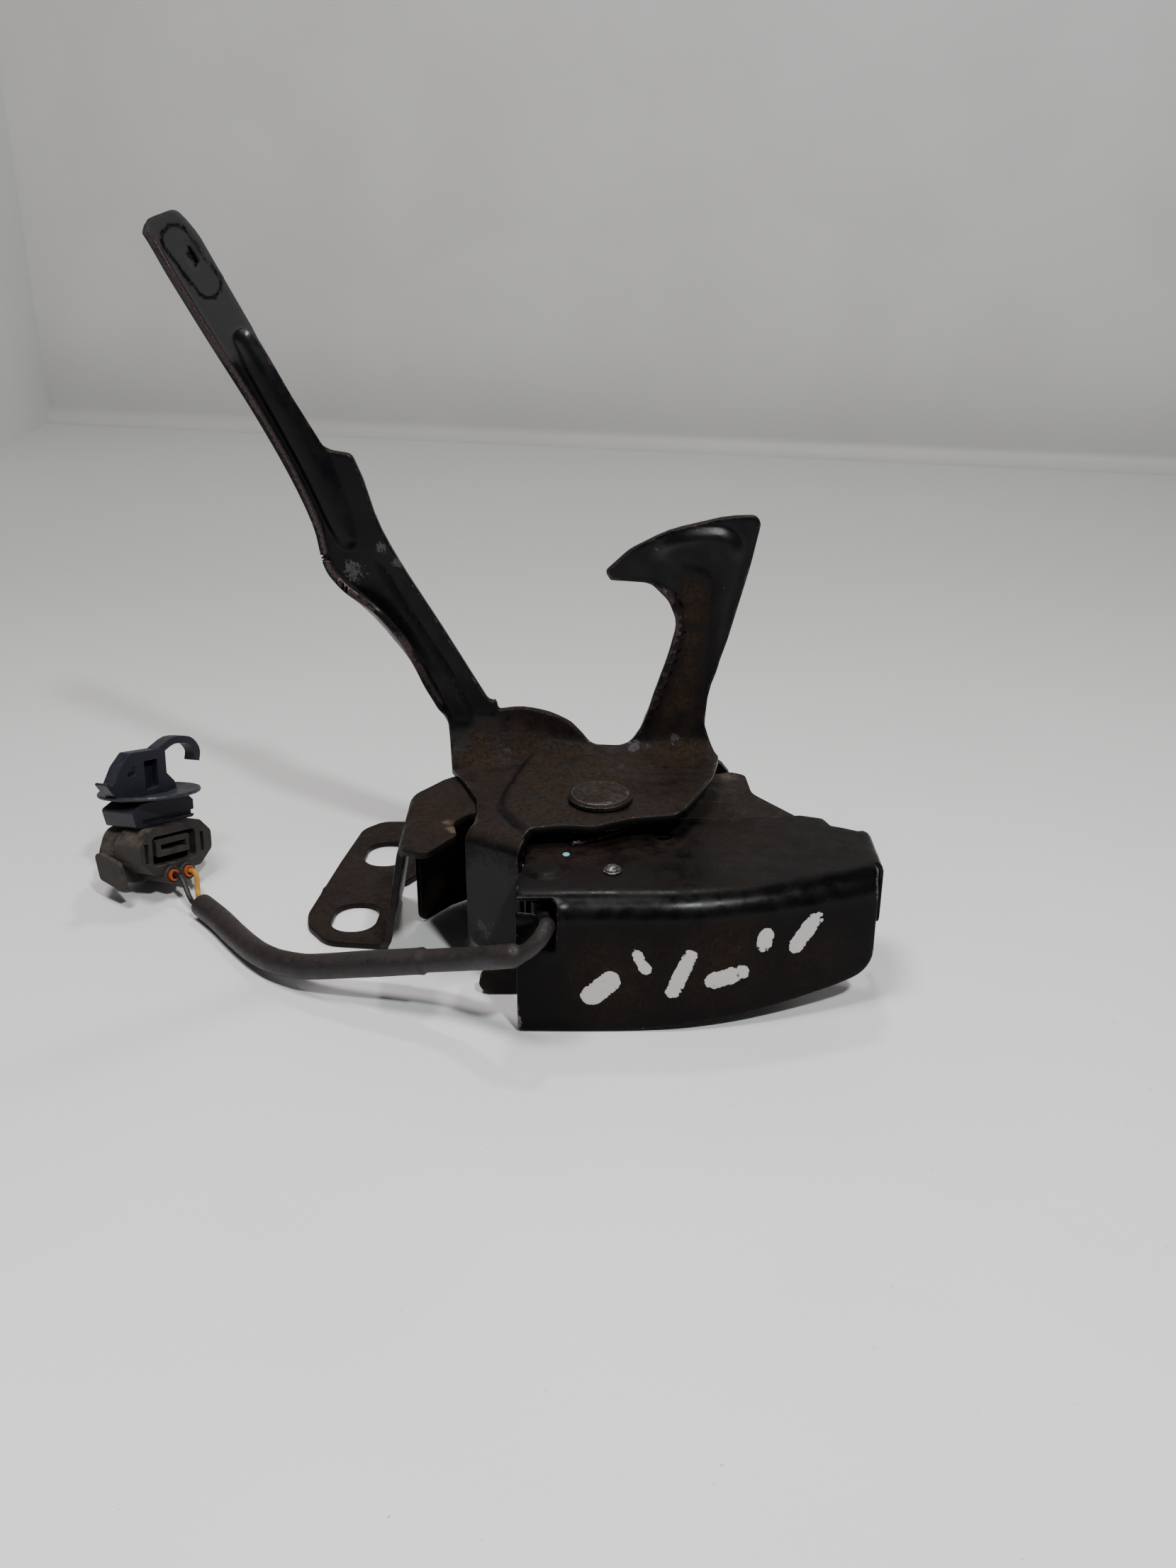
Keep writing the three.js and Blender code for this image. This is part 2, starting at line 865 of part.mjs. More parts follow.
// The connector lies tilted on the ground. Its own frame has X across the wire face, Y into the
// housing and Z up, with the origin at the bottom of the wire face.
const CONNECTOR = { x: -58, y: -1.6, z: 7.75, turn: 57.6, roll: 11.4, lean: -9.2 };
const SEAL = { spacing: 3, height: -0.8, outer: 1.8 };

function connectorFrame() {
  const group = new THREE.Group();
  group.position.set(CONNECTOR.x, CONNECTOR.y, CONNECTOR.z);
  group.rotation.order = "ZYX";
  group.rotation.set(
    THREE.MathUtils.degToRad(CONNECTOR.lean),
    THREE.MathUtils.degToRad(CONNECTOR.roll),
    THREE.MathUtils.degToRad(CONNECTOR.turn),
  );
  group.updateMatrixWorld(true);
  return group;
}

function connectorHousing() {
  const face = shapeOf([
    [-9, 0, 2],
    [9, 0, 2],
    [14, 4.4, 2],
    [14, 9.8, 2],
    [9.6, 14, 2],
    [-9.6, 14, 2],
    [-14, 9.8, 2],
    [-14, 4.4, 2],
  ]);
  const hood = shapeOf([
    [-12, -3.2, 5],
    [12, -3.2, 5],
    [13.4, 6, 5],
    [10, 13.4, 5],
    [-10, 13.4, 5],
    [-13.4, 6, 5],
  ]);
  const pocket = shapeOf([
    [-9.4, 2.6, 1.5],
    [7.6, 2.6, 1.5],
    [7.6, 11.6, 1.5],
    [-9.4, 11.6, 1.5],
  ]);
  const cavity = (side, radius, from, to) =>
    disc("y", [side * SEAL.spacing, SEAL.height], radius, from, to, 20);
  const bosses = [-1, 1].map((side) => cavity(side, 2.7, -1, 13));
  const bores = [-1, 1].map((side) => cavity(side, 2.1, -2, 5));
  const keyway = (x) =>
    slab(shapeOf([[x - 0.7, 4], [x + 0.7, 4], [x + 0.7, 10], [x - 0.7, 10]]), "y", -1, 4);
  return cut(
    join(slab(face, "y", 0, 11), slab(hood, "y", 10, 19), ...bosses),
    slab(pocket, "y", -1, 8.5),
    keyway(-11.6),
    keyway(10.2),
    ...bores,
  );
}

function connectorInsert() {
  const outer = shapeOf([
    [-7.4, 5.2, 0.6],
    [5.6, 5.2, 0.6],
    [5.6, 10.4, 0.6],
    [-7.4, 10.4, 0.6],
  ]);
  const slot = shapeOf([
    [-5.6, 6.9],
    [4.2, 6.9],
    [4.2, 8.7],
    [-5.6, 8.7],
  ]);
  return slab(outer, "y", 0.6, 8.5 - CLEARANCE).subtract(slab(slot, "y", 0, 5));
}

function connectorLock() {
  const side = shapeOf([
    [5, -4.6, 1],
    [16, -1, 1.5],
    [18, 7.6, 1.5],
    [8, 4.4, 2],
  ]);
  return slab(side, "x", -16, -14.3);
}

function sealRing(side) {
  const at = [side * SEAL.spacing, SEAL.height];
  return ring("y", at, SEAL.outer, WIRE_RADIUS + CLEARANCE, -1.6, 4);
}

// The harness clip: a rail on the housing, a dished disk, a slotted stem, one whole wing and one
// that has torn loose and curls over.
function harnessClip() {
  const rail = slab(
    shapeOf([
      [-11.6, 14.4, 1],
      [-9.6, 14.3],
      [11, 14.3, 1],
      [11, 19.6],
      [9, 21.4],
      [-9, 21.4],
      [-13, 19.6, 1],
    ]),
    "y",
    3.5,
    16.5,
  );
  const groove = slab(shapeOf([[-9.2, 15.2], [14, 15.2], [14, 16.6], [-9.2, 16.6]]), "y", 1, 4.7);
  const disk = solidOf(
    turned([
      [0, 21.2],
      [6, 21.2],
      [15, 22.8],
      [15.2, 23.3],
      [15, 23.8],
      [6, 22.6],
      [0, 22.6],
    ], 32).translate(0, 10, 0),
  );
  const stem = slab(
    shapeOf([
      [-5, 22],
      [5.2, 22],
      [5.2, 36, 0.8],
      [-8, 36.2, 1],
      [-12, 32.6, 3],
      [-15.6, 27, 1],
      [-17.6, 28.8, 0.4],
      [-18, 28, 0.4],
      [-15.6, 24.8, 1],
      [-12, 22],
    ]),
    "y",
    7.6,
    12.4,
  );
  const hollow = slab(
    shapeOf([
      [-6.6, 33.6, 0.8],
      [-11.2, 28.4, 0.8],
      [-6.6, 29.6, 0.8],
    ]),
    "y",
    0,
    20,
  );
  const slot = slab(
    shapeOf([
      [-3.4, 24.4, 0.8],
      [1.8, 24.4, 0.8],
      [1.8, 33.2, 0.6],
      [-3.4, 33.2, 0.6],
    ]),
    "y",
    0,
    10.4,
  );
  const tornWing = slab(
    stripShape(
      [
        [3, 35.2],
        [9, 38, 7],
        [16, 37.2, 5],
        [18.6, 33.6, 3],
        [17.8, 30.4],
      ],
      2.2,
    ),
    "y",
    7.8,
    12.2,
  );
  const brace = slab(shapeOf([[5, 22], [9.6, 22], [8.6, 25.4], [5, 29]]), "y", 8.2, 11.8);
  return cut(join(rail, disk, stem, tornWing, brace), groove, hollow, slot);
}

function connector() {
  const group = connectorFrame();
  latch.add(group);
  add("connector_housing", connectorHousing(), greyPlastic, group);
  add("connector_insert", connectorInsert(), greyPlastic, group);
  add("connector_lock", connectorLock(), greyPlastic, group);
  add("harness_clip", harnessClip(), bluePlastic, group);
  for (const [side, name] of [[-1, "black"], [1, "yellow"]]) {
    add(`wire_seal_${name}`, sealRing(side), orangeRubber, group);
    const toWorld = (x, y, z) => group.localToWorld(new THREE.Vector3(x, y, z));
    const end = LEAD[LEAD.length - 1];
    const back = end.clone().sub(LEAD[LEAD.length - 2]).normalize();
    const across = new THREE.Vector3(-back.y, back.x, 0).multiplyScalar(-side * 1.2);
    const meet = end.clone().addScaledVector(back, CLEARANCE + 0.1).add(across);
    const curve = new THREE.CatmullRomCurve3(
      [
        toWorld(side * SEAL.spacing, 3.6, SEAL.height),
        toWorld(side * SEAL.spacing, 0, SEAL.height),
        toWorld(side * SEAL.spacing, -3.5, SEAL.height),
        meet.clone().addScaledVector(back, 4),
        meet,
      ],
      false,
      "centripetal",
    );
    const material = side < 0 ? blackRubber : yellowVinyl;
    add(`wire_${name}`, tube(curve, WIRE_RADIUS, 8, 14), material);
  }
}

// ---------------------------------------------------------------- build

add("base_plate", basePlate(), dustyCoat);
add("front_shield", frontShield(), blackCoat);
add("safety_lever", safetyLever(), blackCoat);

add("safety_rivet", pivotRivet().translate(PIVOT.x, PIVOT.y, 0), steel);
const spacerFrom = SHIELD_TOP + CLEARANCE;
const spacerTo = SAFETY_TOP - SAFETY_SHEET - CLEARANCE;
const spacerRing = ring("z", [PIVOT.x, PIVOT.y], 7.4, PIVOT_BORE, spacerFrom, spacerTo);
add("pivot_spacer", spacerRing, zinc);
const safetySpring = torsionSpring({
  mean: 9,
  wire: 1.2,
  turns: 2,
  pitch: 1.35,
  legs: [14, 8],
  start: THREE.MathUtils.degToRad(-60),
});
add("safety_spring", safetySpring.translate(PIVOT.x, PIVOT.y, spacerFrom + 0.6), springSteel);

add("latch_fork", latchFork(), dustyCoat);
add("fork_pin", forkPin(), steel);
const forkSpring = torsionSpring({ mean: 6.4, wire: 1.4, turns: 2.3, pitch: 1.5, legs: [8, 10] });
forkSpring.rotateX(Math.PI / 2);
add("fork_spring", forkSpring.translate(FORK_AXIS.x, 22.2, FORK_AXIS.z), springSteel);

add("pawl", pawl(), zinc);
add("pawl_shaft", pawlShaft(), steel);
add("release_lever", releaseLever(), zinc);
const retainer = ring("y", [SHAFT_AXIS.x, SHAFT_AXIS.z], 5, SHAFT + 0.1, 21.2, 22.2);
add("shaft_retainer", retainer, steel);
const pawlSpring = torsionSpring({ mean: 5, wire: 1.2, turns: 1.2, pitch: 1.4, legs: [10, 9] });
pawlSpring.rotateX(Math.PI / 2);
add("pawl_spring", pawlSpring.translate(SHAFT_AXIS.x, 20.4, SHAFT_AXIS.z), springSteel);

add("switch_body", switchBody(), blackPlastic);
add("switch_plunger", switchPlunger(), greyPlastic);
add("switch_bracket", switchBracket(), zinc);
add("bracket_rivet", bracketRivet(), steel);
add("switch_screw", switchScrew(), steel);
add("switch_gland", gland(), blackRubber);

lead();
connector();

export default latch;
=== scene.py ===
"""The looks of the bonnet latch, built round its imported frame. Its lengths are in millimetres, scaled
to metres as each piece is made. The camera, the lights and the floor are placed in metres."""

import math

import bmesh
import bpy
import numpy as np
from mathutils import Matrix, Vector, geometry, kdtree


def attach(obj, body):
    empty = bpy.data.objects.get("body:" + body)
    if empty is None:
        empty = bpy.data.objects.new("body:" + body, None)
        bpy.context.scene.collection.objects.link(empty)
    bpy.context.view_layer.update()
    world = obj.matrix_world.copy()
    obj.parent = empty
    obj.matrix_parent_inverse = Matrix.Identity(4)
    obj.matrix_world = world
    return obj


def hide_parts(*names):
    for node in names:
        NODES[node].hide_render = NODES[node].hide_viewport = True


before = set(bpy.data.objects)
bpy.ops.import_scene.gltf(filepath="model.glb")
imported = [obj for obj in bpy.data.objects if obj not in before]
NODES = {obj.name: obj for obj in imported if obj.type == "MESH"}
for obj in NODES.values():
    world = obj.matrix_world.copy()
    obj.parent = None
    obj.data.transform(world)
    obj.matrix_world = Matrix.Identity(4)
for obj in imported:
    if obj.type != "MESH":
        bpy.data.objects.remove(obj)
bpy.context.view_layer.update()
MM = 0.001
# The upright axis of the large rivet and the hole for it, and the round hole beside it: (x, y, radius).
PIVOT = (68.3, -32.2)
PIVOT_HOLE = (*PIVOT, 4.8)
SMALL_HOLE = (85.1, -39.5, 2.6)


# ---- camera, floor and lights


def link(made):
    bpy.context.scene.collection.objects.link(made)


def aim_camera():
    """The camera stands where the photograph was taken from, looking 24 degrees down."""
    data = bpy.data.cameras.new("camera")
    data.lens = 34.2
    data.sensor_width = 36
    data.clip_start = 0.01
    camera = bpy.data.objects.new("camera", data)
    camera.location = (0.065, -0.4, 0.2134)
    camera.rotation_euler = (math.radians(66), 0, 0)
    link(camera)
    bpy.context.scene.camera = camera


def area_light(name, place, target, size, power, color):
    data = bpy.data.lights.new(name, "AREA")
    data.shape = "DISK"
    data.size = size
    data.energy = power
    data.color = color
    light = bpy.data.objects.new(name, data)
    light.location = place
    aim = Vector(target) - Vector(place)
    light.rotation_euler = aim.to_track_quat("-Z", "Y").to_euler()
    link(light)


def light_scene():
    area_light("key", (0.33, -0.6, 0.85), (0.06, 0, 0.05), 0.08, 7.6, (0.96, 1, 1))
    area_light("top", (-0.12, -0.18, 0.85), (0.02, -0.05, 0.0), 0.25, 5.2, (1, 0.97, 0.965))
    area_light("back", (0.12, 0.42, 0.9), (0.06, 0, 0.05), 0.09, 2.6, (1, 0.98, 0.97))
    world = bpy.data.worlds.new("world")
    world.use_nodes = True
    background = world.node_tree.nodes["Background"]
    background.inputs["Color"].default_value = (0.93, 0.9, 0.91, 1)
    background.inputs["Strength"].default_value = 0.09
    bpy.context.scene.world = world


# ---- materials


class Paint:
    """A small builder for a procedural material. Sockets or plain numbers go in, sockets come out."""

    def __init__(self, name):
        self.material = bpy.data.materials.new(name)
        self.material.use_nodes = True
        self.tree = self.material.node_tree
        self.shader = self.tree.nodes["Principled BSDF"]
        self.place = self.make("ShaderNodeTexCoord").outputs["Object"]

    def make(self, kind, **settings):
        node = self.tree.nodes.new(kind)
        for key, value in settings.items():
            setattr(node, key, value)
        return node

    def feed(self, socket, value):
        if isinstance(value, bpy.types.NodeSocket):
            self.tree.links.new(value, socket)
        else:
            socket.default_value = value

    def math(self, operation, a, b=0.0):
        node = self.make("ShaderNodeMath", operation=operation)
        self.feed(node.inputs[0], a)
        self.feed(node.inputs[1], b)
        return node.outputs[0]

    def plus(self, a, b):
        return self.math("ADD", a, b)

    def minus(self, a, b):
        return self.math("SUBTRACT", a, b)

    def times(self, a, b):
        return self.math("MULTIPLY", a, b)

    def noise(self, size, detail=3.0, stretch=(1, 1, 1), shift=0.0, roughness=0.55):
        """Noise with features of about size millimetres, longer where stretch is over 1."""
        mapping = self.make("ShaderNodeMapping")
        self.feed(mapping.inputs["Vector"], self.place)
        mapping.inputs["Scale"].default_value = [1 / (size * MM * s) for s in stretch]
        mapping.inputs["Location"].default_value = (shift, shift * 0.7, shift * 1.3)
        node = self.make("ShaderNodeTexNoise")
        self.feed(node.inputs["Vector"], mapping.outputs[0])
        node.inputs["Scale"].default_value = 1
        node.inputs["Detail"].default_value = detail
        node.inputs["Roughness"].default_value = roughness
        return node.outputs["Fac"]

    def step(self, value, low, high, out_low=0.0, out_high=1.0):
        node = self.make("ShaderNodeMapRange", interpolation_type="SMOOTHSTEP")
        self.feed(node.inputs["Value"], value)
        ends = {"From Min": low, "From Max": high, "To Min": out_low, "To Max": out_high}
        for key, number in ends.items():
            node.inputs[key].default_value = number
        return node.outputs[0]

    def mix(self, share, a, b):
        node = self.make("ShaderNodeMix", data_type="RGBA")
        self.feed(node.inputs[0], share)
        self.feed(node.inputs[6], (*a, 1) if isinstance(a, tuple) else a)
        self.feed(node.inputs[7], (*b, 1) if isinstance(b, tuple) else b)
        return node.outputs[2]

    def blend(self, share, a, b):
        node = self.make("ShaderNodeMix", data_type="FLOAT")
        self.feed(node.inputs[0], share)
        self.feed(node.inputs[2], a)
        self.feed(node.inputs[3], b)
        return node.outputs[0]

    def attribute(self, name):
        return self.make("ShaderNodeAttribute", attribute_name=name).outputs["Fac"]

    def split(self, vector):
        node = self.make("ShaderNodeSeparateXYZ")
        self.feed(node.inputs[0], vector)
        return node.outputs

    def up(self):
        """How far the surface faces upwards, from -1 to 1."""
        return self.split(self.make("ShaderNodeNewGeometry").outputs["Normal"])["Z"]

    def rim(self, x, y, radius, half, strength):
        """strength on a circle about an upright axis, falling to 0 at half millimetres from it."""
        place = self.split(self.place)
        dx = self.minus(place["X"], x * MM)
        dy = self.minus(place["Y"], y * MM)
        square = self.plus(self.times(dx, dx), self.times(dy, dy))
        off = self.math("ABSOLUTE", self.minus(self.math("SQRT", square), radius * MM))
        return self.step(off, half * MM, 0, 0, strength)

    def sharp_edges(self, radius):
        """Nearly 1 along the sharp edges of a piece, and 0 on its faces."""
        bevel = self.make("ShaderNodeBevel", samples=4)
        bevel.inputs["Radius"].default_value = radius * MM
        normal = self.make("ShaderNodeNewGeometry").outputs["Normal"]
        dot = self.make("ShaderNodeVectorMath", operation="DOT_PRODUCT")
        self.feed(dot.inputs[0], bevel.outputs[0])
        self.feed(dot.inputs[1], normal)
        return self.step(dot.outputs["Value"], 0.995, 0.86)

    def bump(self, *layers):
        """Layers are (height socket, depth in millimetres)."""
        normal = None
        for height, depth in layers:
            node = self.make("ShaderNodeBump")
            node.inputs["Distance"].default_value = depth * MM
            node.inputs["Strength"].default_value = 1.0
            self.feed(node.inputs["Height"], height)
            if normal is not None:
                self.feed(node.inputs["Normal"], normal)
            normal = node.outputs[0]
        self.feed(self.shader.inputs["Normal"], normal)

    def finish(self, color, roughness, metallic=0.0):
        self.feed(self.shader.inputs["Base Color"], color if not isinstance(color, tuple) else (*color, 1))
        self.feed(self.shader.inputs["Roughness"], roughness)
        self.feed(self.shader.inputs["Metallic"], metallic)
        return self.material


DUST = (0.029, 0.0192, 0.0138)
METAL = (0.16, 0.14, 0.135)
COPPER = (0.075, 0.054, 0.054)


def coated(
    name, base, warm, dust_share, bare=METAL, gloss=0.3, edge_wear=0.6, sheen=0.13, ring=None
):
    """Dip-coated sheet: dark coat with dust on what faces up, and metal where it is worn.

    ring is a round worn rim: (x, y, radius, half width, strength).
    """
    p = Paint(name)
    broad = p.noise(14, 4)
    fine = p.noise(1.3, 5, roughness=0.7)
    grit = p.noise(0.45, 3, shift=9)
    blotch = p.noise(4.5, 5, shift=7)
    scratch = p.step(p.noise(0.5, 2, (14, 1.2, 5), 3), 0.64, 0.73)
    cross = p.step(p.noise(0.45, 2, (1.2, 10, 9), 11), 0.66, 0.75)
    coat = p.mix(p.step(broad, 0.35, 0.65), base, warm)
    facing = p.step(p.up(), 0.3, 0.95)
    settled = p.plus(p.times(facing, dust_share), p.attribute("dust"))
    settled = p.math("MAXIMUM", settled, 0.0)
    speckle = p.plus(p.times(fine, 0.45), p.times(blotch, 0.55))
    dusty = p.math("MINIMUM", p.times(settled, p.step(speckle, 0.3, 0.6)), 0.96)
    dust_color = p.mix(p.step(fine, 0.35, 0.7), DUST, tuple(c * 0.42 for c in DUST))
    dust_color = p.mix(p.step(grit, 0.55, 0.72, 0, 0.65), dust_color, tuple(c * 2.3 for c in DUST))
    color = p.mix(dusty, coat, dust_color)
    pale = p.step(p.plus(p.attribute("pale"), p.minus(fine, 0.5)), 0.2, 0.6, 0, 0.7)
    color = p.mix(pale, color, (0.1, 0.078, 0.058))
    marks = p.times(p.math("MAXIMUM", scratch, cross), p.step(broad, 0.45, 0.66, 0.0, 0.22))
    marks = p.times(marks, p.step(dusty, 0.5, 0.1))
    color = p.mix(marks, color, (0.012, 0.0105, 0.0115))
    noise = p.minus(p.times(fine, 0.9), 0.45)
    patches = p.minus(p.times(blotch, 0.7), 0.35)
    # Lighter lilac coat: rubbed coat, and in some spots painted light on faces that stand in shade.
    rubbed_and_painted_light_attr = p.attribute("matte")
    matte = p.step(p.plus(rubbed_and_painted_light_attr, noise), 0.32, 0.72)
    uneven = p.times(p.plus(patches, noise), 2.0)
    color = p.mix(p.times(matte, 0.85), color, (0.034, 0.033, 0.0345))
    bald = p.step(p.plus(p.attribute("chip"), uneven), 0.5, 0.56)
    color = p.mix(p.times(bald, p.step(fine, 0.3, 0.6, 0.6, 1)), color, (0.054, 0.047, 0.052))
    edge = p.math("MAXIMUM", p.attribute("edge"), p.sharp_edges(0.4))
    rub = p.plus(p.times(edge, edge_wear), p.attribute("wear"))
    if ring:
        rub = p.plus(rub, p.rim(*ring))
    worn = p.step(p.plus(p.plus(rub, noise), patches), 0.64, 0.84)
    metal = p.mix(p.step(grit, 0.4, 0.65), bare, tuple(c * 0.45 for c in bare))
    rust = p.attribute("rust")
    metal = p.mix(p.step(p.plus(rust, noise), 0.35, 0.6), metal, (0.2, 0.075, 0.03))
    color = p.mix(worn, color, metal)
    rusted = p.step(p.plus(rust, patches), 0.45, 0.75)
    color = p.mix(rusted, color, (0.1, 0.04, 0.02))
    ragged = p.plus(p.times(noise, 2.4), p.times(patches, 2.2))
    white = p.times(p.attribute("white"), p.plus(ragged, 1.0))
    white = p.step(white, 0.5, 0.58)
    color = p.mix(white, color, (0.5, 0.49, 0.47))
    shine = p.step(blotch, 0.3, 0.7, gloss - 0.07, gloss + 0.12)
    shine = p.blend(p.attribute("gloss"), shine, 0.24)
    roughness = p.blend(p.math("MAXIMUM", dusty, matte), shine, 0.9)
    roughness = p.blend(worn, roughness, 0.42)
    roughness = p.blend(white, roughness, 0.6)
    lit = p.times(p.attribute("gloss"), p.step(blotch, 0.3, 0.6, 0.35, 1))
    specular = p.blend(dusty, p.blend(lit, sheen, 0.42), 0.03)
    p.feed(p.shader.inputs["Specular IOR Level"], specular)
    rough_dust = p.times(fine, p.plus(dusty, 0.12))
    p.bump((rough_dust, 0.09), (p.times(grit, dusty), 0.05), (grit, 0.008), (worn, -0.02))
    return p.finish(color, roughness, p.times(worn, 0.7))


def bare_metal(name, base, dark, rough):
    """Plated or plain steel with fine scratches and bright worn edges."""
    p = Paint(name)
    broad = p.noise(5, 4)
    fine = p.noise(0.6, 5, shift=4)
    scratch = p.step(p.noise(0.4, 2, (9, 1, 9), 13), 0.6, 0.7)
    color = p.mix(p.step(broad, 0.35, 0.65), base, dark)
    worn = p.times(p.sharp_edges(0.6), p.step(fine, 0.42, 0.6, 0.1, 0.9))
    color = p.mix(worn, color, tuple(min(1, c * 9) for c in base))
    color = p.mix(p.times(scratch, 0.5), color, tuple(min(1, c * 3) for c in base))
    roughness = p.step(fine, 0.3, 0.7, rough - 0.1, rough + 0.2)
    p.bump((fine, 0.02), (scratch, -0.012))
    return p.finish(color, roughness, 0.85)


def moulded(name, base, dust_share, dust=(0.035, 0.028, 0.022), rough=0.5, grain=0.03):
    """Plastic or rubber with a fine moulded grain, dust in its upper faces and scuffed edges."""
    p = Paint(name)
    fine = p.noise(0.5, 4, roughness=0.7)
    blotch = p.noise(3.2, 4, shift=5)
    facing = p.step(p.up(), -0.1, 0.9)
    settled = p.times(p.plus(p.times(facing, 0.75), 0.25), dust_share)
    speckle = p.plus(p.times(fine, 0.5), p.times(blotch, 0.5))
    dusty = p.times(settled, p.step(speckle, 0.34, 0.62))
    shade = p.mix(p.step(blotch, 0.35, 0.65), base, tuple(c * 0.7 for c in base))
    color = p.mix(dusty, shade, dust)
    scuffed = p.times(p.sharp_edges(0.35), p.step(blotch, 0.45, 0.6, 0.02, 0.5))
    color = p.mix(scuffed, color, (0.07, 0.07, 0.075))
    roughness = p.blend(dusty, p.step(fine, 0.3, 0.7, rough - 0.08, rough + 0.1), 0.85)
    p.feed(p.shader.inputs["Specular IOR Level"], p.blend(dusty, 0.4, 0.06))
    p.bump((fine, grain), (blotch, grain * 2))
    return p.finish(color, roughness)


def floor_paint(name, light, dark, back_shade=0.0, foot=0.0):
    """Painted board. Its darkening towards the back is painted shade, standing for the light falling off,
    and its darkening near the floor is painted shade in the corner where a wall meets it; the last two
    arguments set how strong each is.
    """
    p = Paint(name)
    color = p.mix(p.step(p.noise(90, 2), 0.3, 0.7), light, dark)
    place = p.split(p.place)
    # Painted shade towards the back, where less light reaches.
    far = p.step(place["Y"], -0.3, 0.42, 0, back_shade)
    color = p.mix(far, color, (0.42, 0.43, 0.41))
    # Painted shade at the foot of a wall, in its corner with the floor.
    low = p.step(place["Z"], 0.09, 0.0, 0, foot)
    color = p.mix(low, color, (0.3, 0.3, 0.28))
    color = p.mix(p.step(p.noise(1.6, 2, shift=5), 0.76, 0.8, 0, 0.6), color, (0.2, 0.18, 0.17))
    p.bump((p.noise(0.8, 3), 0.05))
    return p.finish(color, 0.5)


COATS = {
    "base": coated(
        "base_coat", (0.004, 0.0032, 0.003), (0.009, 0.0065, 0.0055), 0.6, gloss=0.42, edge_wear=0.5
    ),
    "shield": coated(
        "shield_coat", (0.0018, 0.0017, 0.002), (0.0034, 0.0028, 0.0028), 0.14, sheen=0.07
    ),
    "safety": coated(
        "safety_coat", (0.003, 0.0031, 0.0039), (0.0048, 0.0044, 0.0052), 0.75, COPPER, edge_wear=0.72
    ),
    "fork": coated("fork_coat", (0.004, 0.0035, 0.003), (0.01, 0.007, 0.005), 0.5),
}
METALS = {
    "rivet": coated(
        "rivet_steel", (0.008, 0.0075, 0.0075), (0.02, 0.018, 0.0175), 0.75, (0.3, 0.28, 0.28)
    ),
    "head": coated(
        "rivet_head", (0.006, 0.0055, 0.0055), (0.016, 0.013, 0.012), 0.8, (0.26, 0.24, 0.24),
        ring=(*PIVOT, 7.0, 2.6, 0.58),
    ),
    "dome": bare_metal("dome_steel", (0.13, 0.115, 0.11), (0.035, 0.028, 0.026), 0.4),
    "zinc": bare_metal("zinc_steel", (0.2, 0.15, 0.09), (0.09, 0.06, 0.035), 0.45),
    "spring": bare_metal("spring_steel", (0.1, 0.09, 0.088), (0.03, 0.025, 0.022), 0.33),
}
PLASTICS = {
    "switch": moulded("switch_plastic", (0.004, 0.004, 0.0042), 0.8),
    "plunger": moulded("plunger_plastic", (0.1, 0.095, 0.09), 0.3),
    "gland": moulded("gland_rubber", (0.003, 0.003, 0.003), 0.5, rough=0.7),
    "tail": moulded("lead_rubber", (0.004, 0.003, 0.003), 0.55, rough=0.62),
    "sheath": moulded(
        "sheath_vinyl", (0.009, 0.007, 0.0085), 0.72, (0.036, 0.028, 0.024), rough=0.45, grain=0.012
    ),
    "black_wire": moulded("black_wire", (0.003, 0.003, 0.003), 0.2, rough=0.4, grain=0.008),
    "yellow_wire": moulded(
        "yellow_wire", (0.5, 0.24, 0.03), 0.5, (0.2, 0.11, 0.035), rough=0.4, grain=0.008
    ),
    "seal": moulded("seal_rubber", (0.45, 0.075, 0.012), 0.6, (0.15, 0.05, 0.02), rough=0.55, grain=0.02),
    "connector": moulded("connector_plastic", (0.009, 0.008, 0.008), 0.9, (0.085, 0.07, 0.058)),
    "clip": moulded(
        "clip_plastic", (0.007, 0.0075, 0.016), 0.45, (0.05, 0.048, 0.055), rough=0.42, grain=0.01
    ),
}


# ---- outlines


def rounded(points, closed=True, step=math.pi / 14):
    """Points are (x, y) or (x, y, corner radius); each rounded corner becomes an arc."""
    out = []
    count = len(points)
    for i, point in enumerate(points):
        corner = np.array(point[:2], float)
        radius = point[2] if len(point) > 2 else 0
        if not radius or (not closed and i in (0, count - 1)):
            out.append(corner)
            continue
        back = np.array(points[i - 1][:2], float) - corner
        ahead = np.array(points[(i + 1) % count][:2], float) - corner
        back /= np.linalg.norm(back)
        ahead /= np.linalg.norm(ahead)
        turn = math.pi - math.acos(max(-1, min(1, float(back @ ahead))))
        if turn < 0.02:
            out.append(corner)
            continue
        middle = back + ahead
        middle *= radius / math.cos(turn / 2) / np.linalg.norm(middle)
        centre = corner + middle
        start = corner + back * radius * math.tan(turn / 2) - centre
        sign = math.copysign(1, ahead[0] * back[1] - ahead[1] * back[0])
        steps = max(1, math.ceil(turn / step))
        for k in range(steps + 1):
            a = sign * turn * k / steps
            cos, sin = math.cos(a), math.sin(a)
            out.append(centre + [start[0] * cos - start[1] * sin, start[0] * sin + start[1] * cos])
    return np.array(out)


def circle(x, y, radius, sides=32):
    a = np.arange(sides) * 2 * math.pi / sides
    return np.stack([x + radius * np.cos(a), y + radius * np.sin(a)], 1)


def divide(loop, size):
    """The closed loop with every edge cut into pieces no longer than size."""
    out = []
    for a, b in zip(loop, np.roll(loop, -1, 0)):
        length = np.linalg.norm(b - a)
        if length < 1e-6:
            continue
        count = max(1, math.ceil(length / size))
        out.extend(a + (b - a) * k / count for k in range(count))
    return np.array(out)


def area_of(loop):
    after = np.roll(loop, -1, 0)
    return 0.5 * float(np.sum(loop[:, 0] * after[:, 1] - loop[:, 1] * after[:, 0]))


